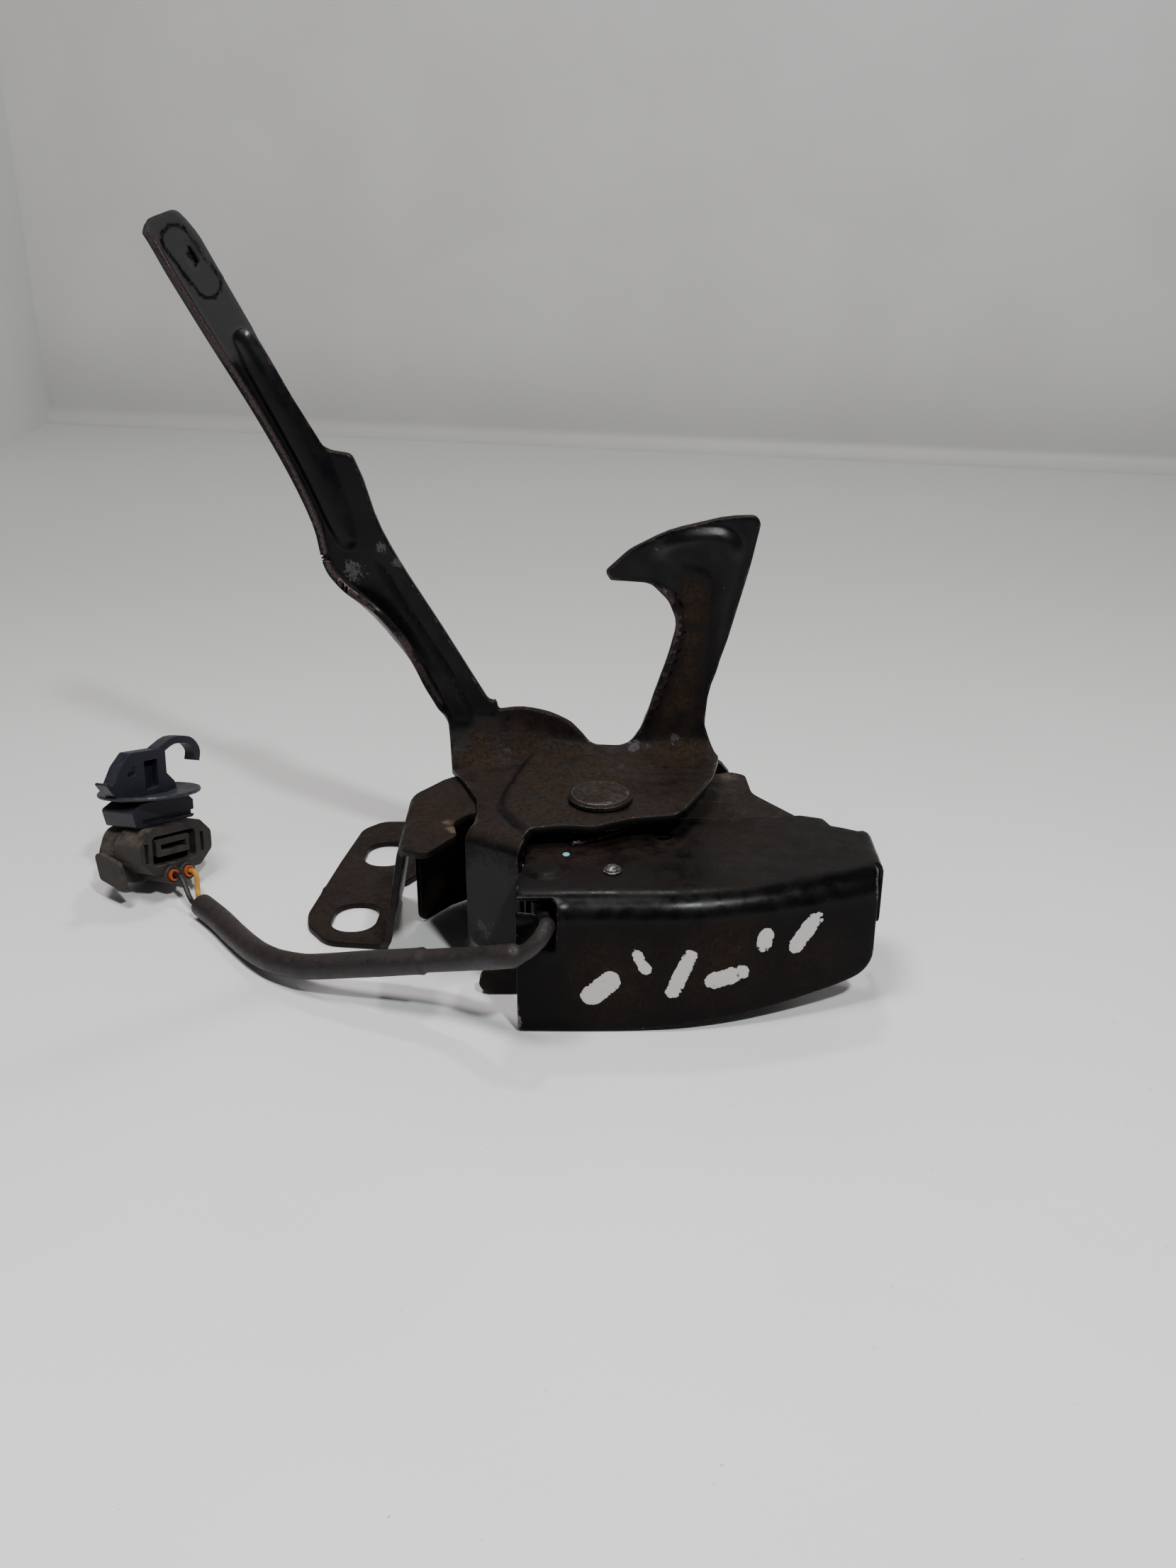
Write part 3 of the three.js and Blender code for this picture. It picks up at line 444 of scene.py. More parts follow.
def shrink(loop, distance):
    """The loop moved towards the sheet, which lies on its left."""
    ahead = np.roll(loop, -1, 0) - loop
    ahead /= np.maximum(np.linalg.norm(ahead, axis=1, keepdims=True), 1e-9)
    back = np.roll(ahead, 1, 0)
    normal = np.stack([-ahead[:, 1] - back[:, 1], ahead[:, 0] + back[:, 0]], 1)
    length = np.maximum(np.linalg.norm(normal, axis=1, keepdims=True), 0.8)
    return loop + normal / length * distance


def inside(points, loops):
    """Which points lie inside the outer loop and outside the holes."""
    crossed = np.zeros(len(points), bool)
    for loop in loops:
        for a, b in zip(loop, np.roll(loop, -1, 0)):
            spans = (a[1] > points[:, 1]) != (b[1] > points[:, 1])
            if not spans.any():
                continue
            x = a[0] + (points[:, 1] - a[1]) * (b[0] - a[0]) / (b[1] - a[1] + 1e-12)
            crossed ^= spans & (points[:, 0] < x)
    return crossed


# ---- sheet metal


def smooth(value, low, high):
    t = np.clip((value - low) / (high - low), 0, 1)
    return t * t * (3 - 2 * t)


def hump(distance, width):
    """1 where distance is 0, falling away evenly on both sides."""
    return np.exp(-((distance / width) ** 2))


def object_of(name, points, faces, material):
    mesh = bpy.data.meshes.new(name)
    mesh.from_pydata((np.asarray(points) * MM).tolist(), [], faces)
    mesh.polygons.foreach_set("use_smooth", [True] * len(mesh.polygons))
    mesh.update()
    made = bpy.data.objects.new(name, mesh)
    made.data.materials.append(material)
    link(made)
    return made


def finder(points):
    """A search tree for the nearest of some flat points."""
    tree = kdtree.KDTree(len(points))
    for i, p in enumerate(points):
        tree.insert((p[0], p[1], 0), i)
    tree.balance()
    return tree


# The height of a row of equal triangles of side 1.
ROW_RISE = 0.866
# How far grid points stay off the outline's points, in cells, and how far in from them wear reaches.
KEEP_OFF = 0.62
EDGE_REACH = 1.6


def fill(low, high, cell):
    """Points of a triangular grid, cell apart, over a flat box."""
    grid = []
    for row in range(int((high[1] - low[1]) / (cell * ROW_RISE)) + 2):
        xs = np.arange(low[0] + 0.5 * cell * (row % 2), high[0], cell)
        grid.append(np.stack([xs, np.full_like(xs, low[1] + row * cell * ROW_RISE)], 1))
    return np.concatenate(grid)


def triangulate(inner, grid, tree, cell):
    """The area within the loops as triangles, and which of its points each loop point became."""
    grid = grid[inside(grid, inner)]
    away = np.array([tree.find((p[0], p[1], 0))[2] for p in grid])
    grid = grid[away > cell * KEEP_OFF]
    edges = []
    start = 0
    for loop in inner:
        edges += [(start + k, start + (k + 1) % len(loop)) for k in range(len(loop))]
        start += len(loop)
    flat = [Vector(p) for loop in inner for p in loop] + [Vector(p) for p in grid]
    out = geometry.delaunay_2d_cdt(flat, edges, [], 0, 1e-5)
    verts = np.array([[v.x, v.y] for v in out[0]])
    triangles = np.array([f for f in out[2] if len(f) == 3])
    triangles = triangles[inside(verts[triangles].mean(1), inner)]
    found = {source: index for index, sources in enumerate(out[3]) for source in sources}
    return verts, triangles, found


def drop_unused(faces, *columns):
    """Faces and point columns without the points that no face uses."""
    used = sorted({i for f in faces for i in f})
    renumber = {old: new for new, old in enumerate(used)}
    return [tuple(renumber[i] for i in f) for f in faces], *(column[used] for column in columns)


def sheet_metal(name, loops, surface, thickness, cell, material, paint=None, round_over=0.35):
    """A sheet cut to flat loops (the outer one first) and formed by surface, which takes flat points
    to the sheet's middle in space. Its cut edges are rounded over."""
    cut = []
    for i, loop in enumerate(loops):
        loop = divide(np.asarray(loop, float), cell)
        cut.append(loop if (area_of(loop) > 0) == (i == 0) else loop[::-1])
    inner = [shrink(loop, round_over) for loop in cut]
    tree = finder(np.concatenate(inner))
    grid = fill(cut[0].min(0), cut[0].max(0), cell)
    verts, triangles, found = triangulate(inner, grid, tree, cell)
    flats = [verts, verts]
    heights = [np.full(len(verts), thickness / 2), np.full(len(verts), -thickness / 2)]
    count = len(verts)
    faces = [tuple(int(i) for i in t) for t in triangles]
    faces += [tuple(int(i) + count for i in t[::-1]) for t in triangles]
    total = 2 * count
    first = 0
    for loop in cut:
        ring_top = [found[first + k] for k in range(len(loop))]
        first += len(loop)
        rings = [ring_top]
        for side, turn in ((1, 0.5), (1, 1), (-1, 1), (-1, 0.5)):
            a = turn * math.pi / 2
            flats.append(shrink(loop, round_over * (1 - math.sin(a))))
            heights.append(np.full(len(loop), side * (thickness / 2 - round_over * (1 - math.cos(a)))))
            rings.append(list(range(total, total + len(loop))))
            total += len(loop)
        rings.append([i + count for i in ring_top])
        for upper, lower in zip(rings, rings[1:]):
            for k in range(len(loop)):
                n = (k + 1) % len(loop)
                faces.append((upper[n], upper[k], lower[k], lower[n]))
    flat = np.concatenate(flats)
    height = np.concatenate(heights)
    nudge = 0.02
    along = surface(flat + [nudge, 0]) - surface(flat - [nudge, 0])
    across = surface(flat + [0, nudge]) - surface(flat - [0, nudge])
    normal = np.cross(along, across)
    normal /= np.maximum(np.linalg.norm(normal, axis=1, keepdims=True), 1e-12)
    points = surface(flat) + normal * height[:, None]
    faces, points, flat = drop_unused(faces, points, flat)
    made = object_of(name, points, faces, material)
    near = np.array([tree.find((p[0], p[1], 0))[2] for p in flat])
    marks = {"edge": np.clip(1 - near / EDGE_REACH, 0, 1) ** 1.5, **(paint(points) if paint else {})}
    for key, value in marks.items():
        layer = made.data.attributes.new(key, "FLOAT", "POINT")
        layer.data.foreach_set("value", np.asarray(value, np.float32))
    return made


def spots(points, places):
    """Soft round patches: places are (x, y, z, radius, strength)."""
    value = np.zeros(len(points))
    for x, y, z, radius, strength in places:
        far = np.linalg.norm(points - [x, y, z], axis=1) / radius
        value = np.maximum(value, strength * np.exp(-far * far * 1.6))
    return value


def bend(s, radius):
    """Where a sheet goes as it folds up by a right angle from s = 0: along, and up."""
    turn = np.clip(s / radius, 0, math.pi / 2)
    past = np.maximum(s - radius * math.pi / 2, 0)
    along = np.where(s < 0, s, radius * np.sin(turn))
    up = np.where(s < 0, 0, radius * (1 - np.cos(turn)) + past)
    return along, up


def from_bead(points, bead):
    """Distance outside a bead whose half width changes along it; negative within it."""
    best = np.full(len(points), 1e9)
    for (ax, az, ar), (bx, bz, br) in zip(bead, bead[1:]):
        a, ab = np.array([ax, az]), np.array([bx - ax, bz - az])
        t = np.clip(((points - a) @ ab) / (ab @ ab), 0, 1)
        gap = np.linalg.norm(points - (a + t[:, None] * ab), axis=1) - (ar + t * (br - ar))
        best = np.minimum(best, gap)
    return best


def from_line(points, line):
    """Distance from an open polyline, for a rim or a crease that follows it."""
    return from_bead(points, [(*p, 0) for p in line])


def along_line(line, count=40):
    """A smooth curve through a few points."""
    line = np.array(line, float)
    t = np.arange(len(line))
    fine = np.linspace(0, len(line) - 1, count)
    padded = np.concatenate([[2 * line[0] - line[1]], line, [2 * line[-1] - line[-2]]])
    out = []
    for v in fine:
        i = min(int(v), len(line) - 2)
        f = v - i
        p0, p1, p2, p3 = padded[i : i + 4]
        square = 2 * p0 - 5 * p1 + 4 * p2 - p3
        cube = 3 * p1 - p0 - 3 * p2 + p3
        out.append(0.5 * (2 * p1 + (p2 - p0) * f + square * f * f + cube * f**3))
    return np.array(out)


# ---- safety stamping

# The sheet's thickness, the height of the plate's middle and the y of the wall's middle.
SAFETY_SHEET = 2.2
PLATE = 43.7
WALL = 5.0
# In plan the leg folds down along the line from LEG_START to LEG_END, and ends at LEG_FOOT's height.
LEG_FOOT = 10.2
LEG_START = np.array([32.9, -45.9])
LEG_END = np.array([47.3, -55.5])
LEG_AXIS = (LEG_END - LEG_START) / np.linalg.norm(LEG_END - LEG_START)
LEG_OUT = np.array([LEG_AXIS[1], -LEG_AXIS[0]])
LEG_RADIUS = 3.6


def fold_radius(x):
    """The fold between plate and wall is wide at the lever's side and tight at the hook's."""
    return 12 - 6.5 * smooth(np.asarray(x, float), 34, 66)


def wall_point(x, z):
    """The flat place of a point on the wall, at its front-view place (x, z)."""
    r = float(fold_radius(x))
    height = z - PLATE
    if height >= r:
        return (x, r * math.pi / 2 + height - r)
    return (x, r * math.acos(max(-1, min(1, 1 - height / r))))


def plate_point(x, y):
    """The flat place of a point on the plate, at its plan place (x, y)."""
    return (x, y - WALL + float(fold_radius(x)))


# The lever's left side, seen from the front.
LEVER_LEFT = along_line(
    [
        (24.2, 52.4), (18.9, 64.4), (15, 72), (4.9, 85.6), (-5, 95.2), (-8.4, 101), (-10.4, 111.7),
        (-15.8, 125.6), (-23.9, 142.1), (-35.2, 162.6), (-47.4, 185.4),
    ],
    90,
)
# The flange along the lever's left side: bend radius, how far in it starts, and how far it turns.
FLANGE_RADIUS = 1.8
FLANGE_INSET = 2.7
FLANGE_TURN = math.radians(78)


def outward(line):
    """Normals of a line, on the side that faces the lever's left."""
    along = np.gradient(line, axis=0)
    along /= np.linalg.norm(along, axis=1, keepdims=True)
    return np.stack([-along[:, 1], along[:, 0]], 1)


LEVER_FOLD = LEVER_LEFT - outward(LEVER_LEFT) * FLANGE_INSET


def flange_turn(z):
    """The flange stands square on the handle and leans over the sheet at the elbow."""
    leaning = smooth(z, 60, 82) * smooth(z, 101, 90)
    return (FLANGE_TURN + math.radians(38) * leaning) * smooth(z, 52, 60)


def flange_height(z):
    """How far the left flange stands past its bend: low along the handle, high at the elbow."""
    return 1.0 + 4.6 * smooth(z, 56, 82) * smooth(z, 98, 87) - 0.6 * smooth(z, 178, 186)


def lever_left_edge():
    """The flat outline of the lever's left side, with the flange laid out."""
    z = LEVER_FOLD[:, 1]
    turn = flange_turn(z)
    folded = FLANGE_RADIUS * turn + flange_height(z)
    length = FLANGE_INSET + (folded - FLANGE_INSET) * np.minimum(1, turn / FLANGE_TURN)
    return LEVER_FOLD + outward(LEVER_FOLD) * length[:, None]


# The hook's inner edge: (x, z, corner radius).
HOOK_INNER = [
    (66.2, 46.2, 5), (76.5, 45.8, 7), (80.4, 50.6, 12), (84, 62.8, 40), (87.6, 73.4, 60),
    (90.3, 84, 9), (87.6, 90.2, 6), (82.5, 95, 6), (71.3, 95.9, 1),
]


def safety_outline():
    right = rounded(
        [
            (-48.6, 187), (-47.6, 190.4, 3), (-45.1, 191.4, 4), (-40, 193.1, 2.5),
            (-37.4, 190.4, 4), (-34.7, 186.9, 10), (-29.1, 175.8), (-14, 146, 60), (-6.2, 132.2, 5),
            (1, 131, 2.5), (3.7, 124.1, 12), (6.9, 112.4, 30), (13.3, 99, 40), (23.8, 81.2),
            (32.7, 65.5, 30), (36.4, 59, 2.5), (38.4, 59.4, 1), (38.9, 56.6, 1), (46.3, 57.7, 16),
            (53.9, 56.2, 20), (60, 53, 8),
            *HOOK_INNER,
            (69.8, 98.3, 1.2), (76.6, 104.6, 12), (87.4, 110.1, 30), (103.5, 113.9, 20),
            (113.2, 114.2, 2.5), (110.4, 100.2, 60), (104.8, 78.6), (99.8, 62.8, 20), (98.9, 52, 8),
            (102.8, 43),
        ],
        closed=False,
    )
    plate = rounded(
        [
            (102.8, -2, 4), (100.3, -15.2, 8), (91.4, -37, 4), (88.6, -41.2, 3), (76.7, -43.4, 16),
            (66.5, -48.8, 8), (58.1, -47.7, 8), (50.6, -49.4, 3), (47.6, -52.4, 1),
        ],
        closed=False,
    )
    left = rounded(
        [(34.6, -44, 1), (35.1, -36, 8), (34.4, -28, 8), (28.6, -12, 10), (25.8, -6)],
        closed=False,
    )
    length = LEG_RADIUS * math.pi / 2 + (PLATE - LEG_RADIUS - LEG_FOOT)
    start = LEG_START - LEG_OUT * LEG_RADIUS
    end = LEG_END - LEG_OUT * LEG_RADIUS
    foot = LEG_OUT * length
    leg = rounded([(*end, 0.8), (*(end + foot), 2), (*(start + foot), 4.5), (*start, 0.8)])
    loop = [wall_point(*p) for p in lever_left_edge()]
    loop += [wall_point(*p) for p in right]
    loop += [plate_point(*p) for p in plate]
    loop += [plate_point(*p) for p in leg]
    loop += [plate_point(*p) for p in left]
    return np.array(loop)


# The bead raised along the handle: (x, z, half width) along its middle.
HANDLE_BEAD = [
    (-25.3, 161.2, 2.6), (-21.9, 154.4, 3.5), (-15.2, 141.0, 4.0), (-9.2, 128.2, 4.2),
    (-4.6, 116, 3.9), (-1.7, 107.8, 2.7),
]
# The outline of the pad pressed out under the beak, with its tail down the hook's back.
HOOK_PAD = along_line(
    [
        (84.5, 103), (88, 107), (94.3, 109.4), (101.1, 109.8), (105.6, 107.4), (106.8, 102.3),
        (105, 94.2), (103.2, 87), (101.6, 77), (100.2, 68), (98.9, 63.5), (98.1, 67), (98.6, 77),
        (99.3, 86), (99.6, 93), (97.6, 97.4), (93, 99), (88, 100.2), (84.5, 103),
    ],
    130,
)[:-1]
# Right of this line the lever's lower part lies a little further back.
LEVER_CREASE = along_line([(2, 108), (6.1, 100.3), (11.4, 90.1), (17, 80.7), (24.5, 68), (31, 54.5)])
HOOK_EDGE = rounded(HOOK_INNER, closed=False)
# The flat thumb pad at the lever's tip, as a bead, and the small notch struck in it.
GRIP_PAD = [(-40.2, 185.5, 3.8), (-33.2, 175, 3.6)]
GRIP_NOTCH = np.array([(-37.7, 185), (-35.1, 180.3), (-36, 179.1), (-37.6, 181.4)])


def within(points, loop):
    """Distance outside a closed loop; negative within it."""
    near = from_line(points, np.append(loop, loop[:1], 0))
    return np.where(inside(points, [loop]), -near, near)


def safety_relief(x, z):
    """How far the stamped wall stands towards the front, at (x, z)."""
    at = np.stack([x, z], 1)
    lever = smooth(x, 50, 40) * smooth(z, 50, 58)
    bead = 1.9 * smooth(from_bead(at, HANDLE_BEAD), 0.8, -3.2) * smooth(from_line(at, LEVER_FOLD), 0.2, 2.2)
    side = at[:, 0] - np.interp(-z, -LEVER_CREASE[:, 1], LEVER_CREASE[:, 0])
    crease = 1.1 * smooth(side, -0.6, 1.8) * smooth(z, 106, 96)
    pad = 0.15 * smooth(from_bead(at, GRIP_PAD), 0.5, -0.5)
    dent = 0.9 * smooth(within(at, GRIP_NOTCH), 0.45, -0.45)
    hook = smooth(x, 72, 80) * smooth(z, 48, 58)
    turned = 1.8 * smooth(from_line(at, HOOK_EDGE), 2.4, 0.8) * smooth(z, 50, 58) * smooth(z, 97, 88)
    # The pad fades out towards its lower left side, except along its right side.
    rise = smooth(z + 0.66 * (x - 84.5), 101, 117)
    rib = 1.7 * smooth(within(at, HOOK_PAD), 1.8, -2.2) * np.maximum(rise, smooth(x, 99, 102.4))
    return lever * (bead - crease - pad - dent) + hook * (turned + rib)


def left_of_step(x, y):
    """How far left of the plate's step, a line that curves round the rivet."""
    return np.interp(y, [-52, -43, -35, -23.3, -3.1, 4], [50, 45.4, 41.6, 43, 47.7, 51.5]) - x


def joggle(x, y):
    """The plate steps down left of its step."""
    return -1.5 * smooth(left_of_step(x, y), -1.1, 1.4)


def fold_flange(x, y, z):
    """Turns what lies left of the lever's fold line towards the front."""
    tree = finder(LEVER_FOLD)
    near = np.array([tree.find((a, b, 0))[1] for a, b in zip(x, z)])
    offset = np.stack([x, z], 1) - LEVER_FOLD[near]
    normal = outward(LEVER_FOLD)[near]
    s = np.sum(offset * normal, axis=1)
    foot = np.stack([x, z], 1) - normal * s[:, None]
    turn = flange_turn(foot[:, 1])
    folds = (s > 0) & (z > 52) & (x < 40)
    arc = np.minimum(np.maximum(s, 0) / FLANGE_RADIUS, turn)
    past = np.maximum(s - FLANGE_RADIUS * turn, 0)
    along = FLANGE_RADIUS * np.sin(arc) + past * np.cos(turn)
    up = FLANGE_RADIUS * (1 - np.cos(arc)) + past * np.sin(turn)
    placed = foot + normal * along[:, None]
    return (
        np.where(folds, placed[:, 0], x),
        np.where(folds, y - up, y),
        np.where(folds, placed[:, 1], z),
    )


def safety_surface(flat):
    x = flat[:, 0].copy()
    radius = fold_radius(x)
    y, up = bend(flat[:, 1], radius)
    y = y + WALL - radius
    z = PLATE + up
    z = z + joggle(x, y) * smooth(up, 6, 0)
    y = y - safety_relief(x, z) * smooth(up, 6, 12)
    x, y, z = fold_flange(x, y, z)
    over = (np.stack([x, y], 1) - (LEG_START - LEG_OUT * LEG_RADIUS)) @ LEG_OUT
    is_leg = (over > 0) & (up < 0.01) & (x < 52) & (y < -35)
    along, down = bend(np.where(is_leg, over, 0), LEG_RADIUS)
    shift = np.where(is_leg, along - over, 0)
    x = x + LEG_OUT[0] * shift
    y = y + LEG_OUT[1] * shift
    z = z - np.where(is_leg, down, 0)
    return np.stack([x, y, z], 1)


def safety_paint(points):
    wear = spots(
        points,
        [
            (-46, 0, 188, 4, 0.4), (15, -4, 80, 6, 0.35), (44, -54, 30, 8, 0.22),
            (38, -50, 22, 7, 0.22), (36, -42, 43, 3, 0.35), (45, -34, 44.5, 3, 0.3),
            (79, -38, 45, 4, 0.3), (72, 3, 97, 4, 0.3),
        ],
    )
    # Lighter coat: the spot on the leg is a painted sheen, and the two spots on the lower lever are painted
    # light on faces turned down into shade; the grip further down is rubbed coat.
    matte = spots(points, [(41, -51, 24, 20, 1.05), (24, 0, 64, 14, 0.42), (14, 0, 86, 13, 0.4)])
    chip = spots(
        points,
        [
            (0.3, 3, 99.2, 4.4, 0.8), (8.2, 3, 105.5, 3.4, 0.85), (11.2, 3, 100.4, 3.4, 0.8),
            (90, 3, 48.6, 2.2, 0.95), (78.4, 2, 47.2, 3.6, 0.78), (83.5, 5, 105.2, 1.8, 0.8),
            (38, -49, 16, 5, 0.6), (43, -52, 31, 3.5, 0.56),
        ],
    )
    x, y, z = points.T
    at = np.stack([x, z], 1)
    pad = from_bead(at, GRIP_PAD)
    # Painted shade: the ring round the thumb pad and the struck notch keep the dark coat within the rubbed
    # grip, standing for the shade in the groove and in the notch.
    ring = hump(pad + 0.1, 0.55)
    bead = from_bead(at, HANDLE_BEAD)
    grip = smooth(z, 150, 160) * smooth(bead, -0.6, 0.8)
    grip = grip * (1 - 0.8 * ring) * smooth(within(at, GRIP_NOTCH), 0.1, 0.5)
    matte = np.maximum(matte, 0.85 * grip)
    # A line of worn-metal colour just inside the hook's inner edge, along its turned lip: partly wear,
    # partly a painted highlight on the lip.
    inner = from_line(at, HOOK_EDGE)
    line = hump(inner - 1.3, 0.6)
    wear = np.maximum(wear, 0.8 * line * smooth(z, 49, 56) * smooth(z, 97, 92) * (x > 60))
    gloss = 0.85 * hump(within(at, HOOK_PAD) + 0.2, 1.9) * smooth(z, 100, 105) * (x > 80)
    gloss = np.maximum(gloss, smooth(bead, 0.5, -0.5) * smooth(z, 152, 160) * (x < 10))
    lip = from_line(at, LEVER_FOLD)
    outside = x < np.interp(z, LEVER_FOLD[:, 1], LEVER_FOLD[:, 0])
    wear = np.maximum(wear, 0.5 * smooth(lip, 2.6, 1.6) * outside * (z > 60))
    dust = spots(
        points,
        [
            (36, 0, 48, 9, 0.9), (48, 2, 50, 10, 0.95), (58, 3, 50, 8, 0.8), (95, 3, 78, 5, 1.3),
            (94.5, 3, 72, 5, 1.3), (92, 3, 66, 7, 1.3), (91, 3, 58, 9, 1.3), (95, 3, 85, 5, 1.3),
            (94.5, 3, 92, 6, 1.3), (90, 0, 48, 10, 1.2), (60, -20, 45, 22, 0.35),
            (14, -2, 72, 5, 0.6), (43, -38, 44, 4, -0.9), (57, -2, 44, 5, -0.6),
            (88, -16, 44, 5, -0.35),
        ],
    )
    # Painted shade: a band just left of the plate's step is kept free of dust, so the coat shows dark along
    # the foot of the step.
    on_plate = smooth(z, 47, 45) * smooth(z, 40, 41) * smooth(y, -52, -46) * smooth(y, 5, 0)
    dust = dust - 0.6 * hump(left_of_step(x, y) - 0.6, 1.5) * on_plate
    rust = spots(points, [(86, 3, 66, 4, 0.4), (34, -30, 43, 4, 0.4), (14, 0, 82, 4, 0.35)])
    return {"wear": wear, "dust": dust, "rust": rust, "matte": matte, "gloss": gloss, "chip": chip}


def safety_lever():
    hole = np.array([plate_point(*p) for p in circle(*PIVOT_HOLE)])
    loops = [safety_outline(), hole]
    made = sheet_metal(
        "safety_stamping", loops, safety_surface, SAFETY_SHEET, 0.9, COATS["safety"], safety_paint
    )
    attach(made, "safety")
    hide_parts("safety_lever")


# ---- front shield

# The sheet's thickness, the height of the web's middle and the radius of the fold to the front.
SHIELD_SHEET = 1.2
SHIELD_WEB = 37.4
SHIELD_FOLD = 6.5
# The right end folds down from this x, at this radius, and ends at this height.
END_FOLD_FROM = 138.6
END_FOLD = 2.8
END_FOOT = 19
# The right edge of the front sheet.
SHIELD_END = 139.3


def shield_front(x):
    """Where the front sheet stands: straight at first, then falling back towards the far end."""
    return -76.4 + 14 * np.maximum(0, (x - 85) / 54) ** 1.6


def front_point(x, z):
    down = SHIELD_WEB - z
    if down >= SHIELD_FOLD:
        return (x, SHIELD_FOLD * math.pi / 2 + down - SHIELD_FOLD)
    return (x, SHIELD_FOLD * math.acos(1 - down / SHIELD_FOLD))


def web_point(x, y):
    return (x, float(shield_front(np.float64(min(x, SHIELD_END)))) + SHIELD_FOLD - y)


# The web's raised left corner, as a bead, and the raised rim round the window.
STEP_AREA = [(49, -58, 2), (52, -52, 3), (54, -60, 4.5)]
WINDOW_RIM = np.array([(46, 36.6), (57.4, 36.6), (57.4, 24), (55, 23)])
# Dabs of white paint: both ends in (x, z), and the half width.
DABS = [
    ((66, 11), (70.5, 15), 3.0), ((77, 23), (79.5, 18.5), 1.6), ((86.5, 12), (90.5, 22), 2.1),
    ((97, 14.5), (103.5, 16), 2.6), ((109.5, 23.5), (110, 26), 2.2), ((118, 22), (122.5, 28.5), 2.4),
]


def shield_surface(flat):
    x = flat[:, 0].copy()
    past = np.where((x > END_FOLD_FROM) & (flat[:, 1] < -0.2), x - END_FOLD_FROM, 0)
    front = shield_front(np.where(past > 0, SHIELD_END, np.minimum(x, SHIELD_END)))
    along, down = bend(flat[:, 1], SHIELD_FOLD)
    y = front + SHIELD_FOLD - along
    z = SHIELD_WEB - down
    end_along, end_down = bend(past, END_FOLD)
    x = np.where(past > 0, END_FOLD_FROM + end_along, x)
    z = z - end_down
    at = np.stack([x, y], 1)
    step = 0.9 * smooth(from_bead(at, STEP_AREA), 1.2, -1.0) * smooth(down, 3, 0)
    rim = from_line(np.stack([x, SHIELD_WEB - down], 1), WINDOW_RIM)
    rim = 0.55 * hump(rim, 1.3) * smooth(down, 0, 2) * smooth(x, 62, 59)
    sag = 0.5 * np.exp(-(((x - 100) / 22) ** 2) - ((y + 45) / 14) ** 2) * smooth(down, 2, 0)
    return np.stack([x, y - rim, z + step - sag], 1)


def shield_paint(points):
    x, y, z = points.T
    dust = spots(
        points,
        [
            (86, -44, 38, 5, 0.8), (60, -50, 38, 14, 0.6), (80, -45, 38, 16, 0.32),
            (104, -38, 38, 18, 0.35), (50, -70, 30, 6, 0.5), (72, -76, 16, 16, 0.85),
            (98, -74, 20, 18, 0.75), (122, -70, 16, 14, 0.45),
        ],
    )
    front = shield_front(np.minimum(x, SHIELD_END))
    roll = hump(z - 35.4, 1.5) * (y < front + 6)
    gloss = 0.4 * hump(z - 34.0, 2.4) * (y < front + 7)
    dust = np.maximum(dust - 0.8 * hump(z - 34.6, 2.4) * (y < front + 6), -0.8)
    wear = 0.3 * roll * smooth(x, 84, 100)
    chips = spots(points, [(136, -63, 33, 4, 0.4), (48, -76, 3, 3, 0.5), (59, -76, 12, 2, 0.6)])
    wear = np.maximum(wear, chips)
    at = np.stack([x, z], 1)
    white = np.zeros(len(points))
    for start, end, half in DABS:
        line = np.array([start, end], float)
        white = np.maximum(white, smooth(from_line(at, line), half + 0.9, half - 1.1))
    white = white * (y < front + 2) * (z < 33)
    return {"dust": dust, "wear": wear, "white": white, "gloss": gloss}


def front_shield():
    corner = rounded(
        [
            (47, 34.0, 1.2), (47, 0.4, 1.2), (61, 0.1, 30), (75, 0.3, 60), (104, 3.4, 90),
            (131, 8.0, 40), (SHIELD_END, 10.4, 7), (SHIELD_END, 33),
        ],
        closed=False,
    )
    drop = END_FOLD * math.pi / 2 + (SHIELD_WEB - END_FOLD - END_FOOT)
    tip = END_FOLD_FROM + drop
    web = [
        (SHIELD_END, -55.4), (tip, -54.9, 2.5), (tip, -37, 2.5), (138, -37, 0.8), (134.4, -35, 3),
        (131.2, -33.6, 1.5), (129.6, -29, 3), (123.7, -27, 3), (112, -27.6, 4), (105, -29.6, 5),
        (96, -28, 8), (48.6, -27.4, 1), (48.6, -58, 3), (47.2, -63, 3), (47, -68),
    ]
    back = rounded([(*web_point(x, y), *radius) for x, y, *radius in web], closed=False)
    window = rounded(
        [
            (47, 36.4), (56, 36.5, 1.2), (57.2, 36, 1.4), (57, 23.8, 1.4), (52.8, 23.8, 1),
            (52.7, 33.8, 1.4), (48, 34.2),
        ],
        closed=False,
    )
    loop = [front_point(*p) for p in corner]
    loop += [tuple(p) for p in back]
    loop += [front_point(*p) for p in window]
    holes = [circle(*PIVOT_HOLE), circle(*SMALL_HOLE), circle(71.2, -60.8, 1.6, 16)]
    cuts = [np.array([web_point(*p) for p in hole]) for hole in holes]
    loops = [np.array(loop), *cuts]
    made = sheet_metal(
        "shield", loops, shield_surface, SHIELD_SHEET, 1.15, COATS["shield"], shield_paint, 0.3
    )
    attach(made, "base")
    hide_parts("front_shield")


# ---- base plate

BASE_SHEET = 2.0
# The folded plate's middle, seen from the front: (x, z, bend radius).
BASE_SECTION = rounded(
    [(-20, 1), (8.5, 1, 4), (16.2, 40.2, 5), (36, 40.2, 3), (42.5, 35.4, 3), (130, 35.4)],
    closed=False,
    step=math.pi / 70,
)
# How far along the section each of its points lies.
BASE_LENGTH = np.concatenate([[0], np.cumsum(np.linalg.norm(np.diff(BASE_SECTION, axis=0), axis=1))])
# Behind this y the flange lies flat, clear of the bracket's wall.
FLAT_FROM = -1.0
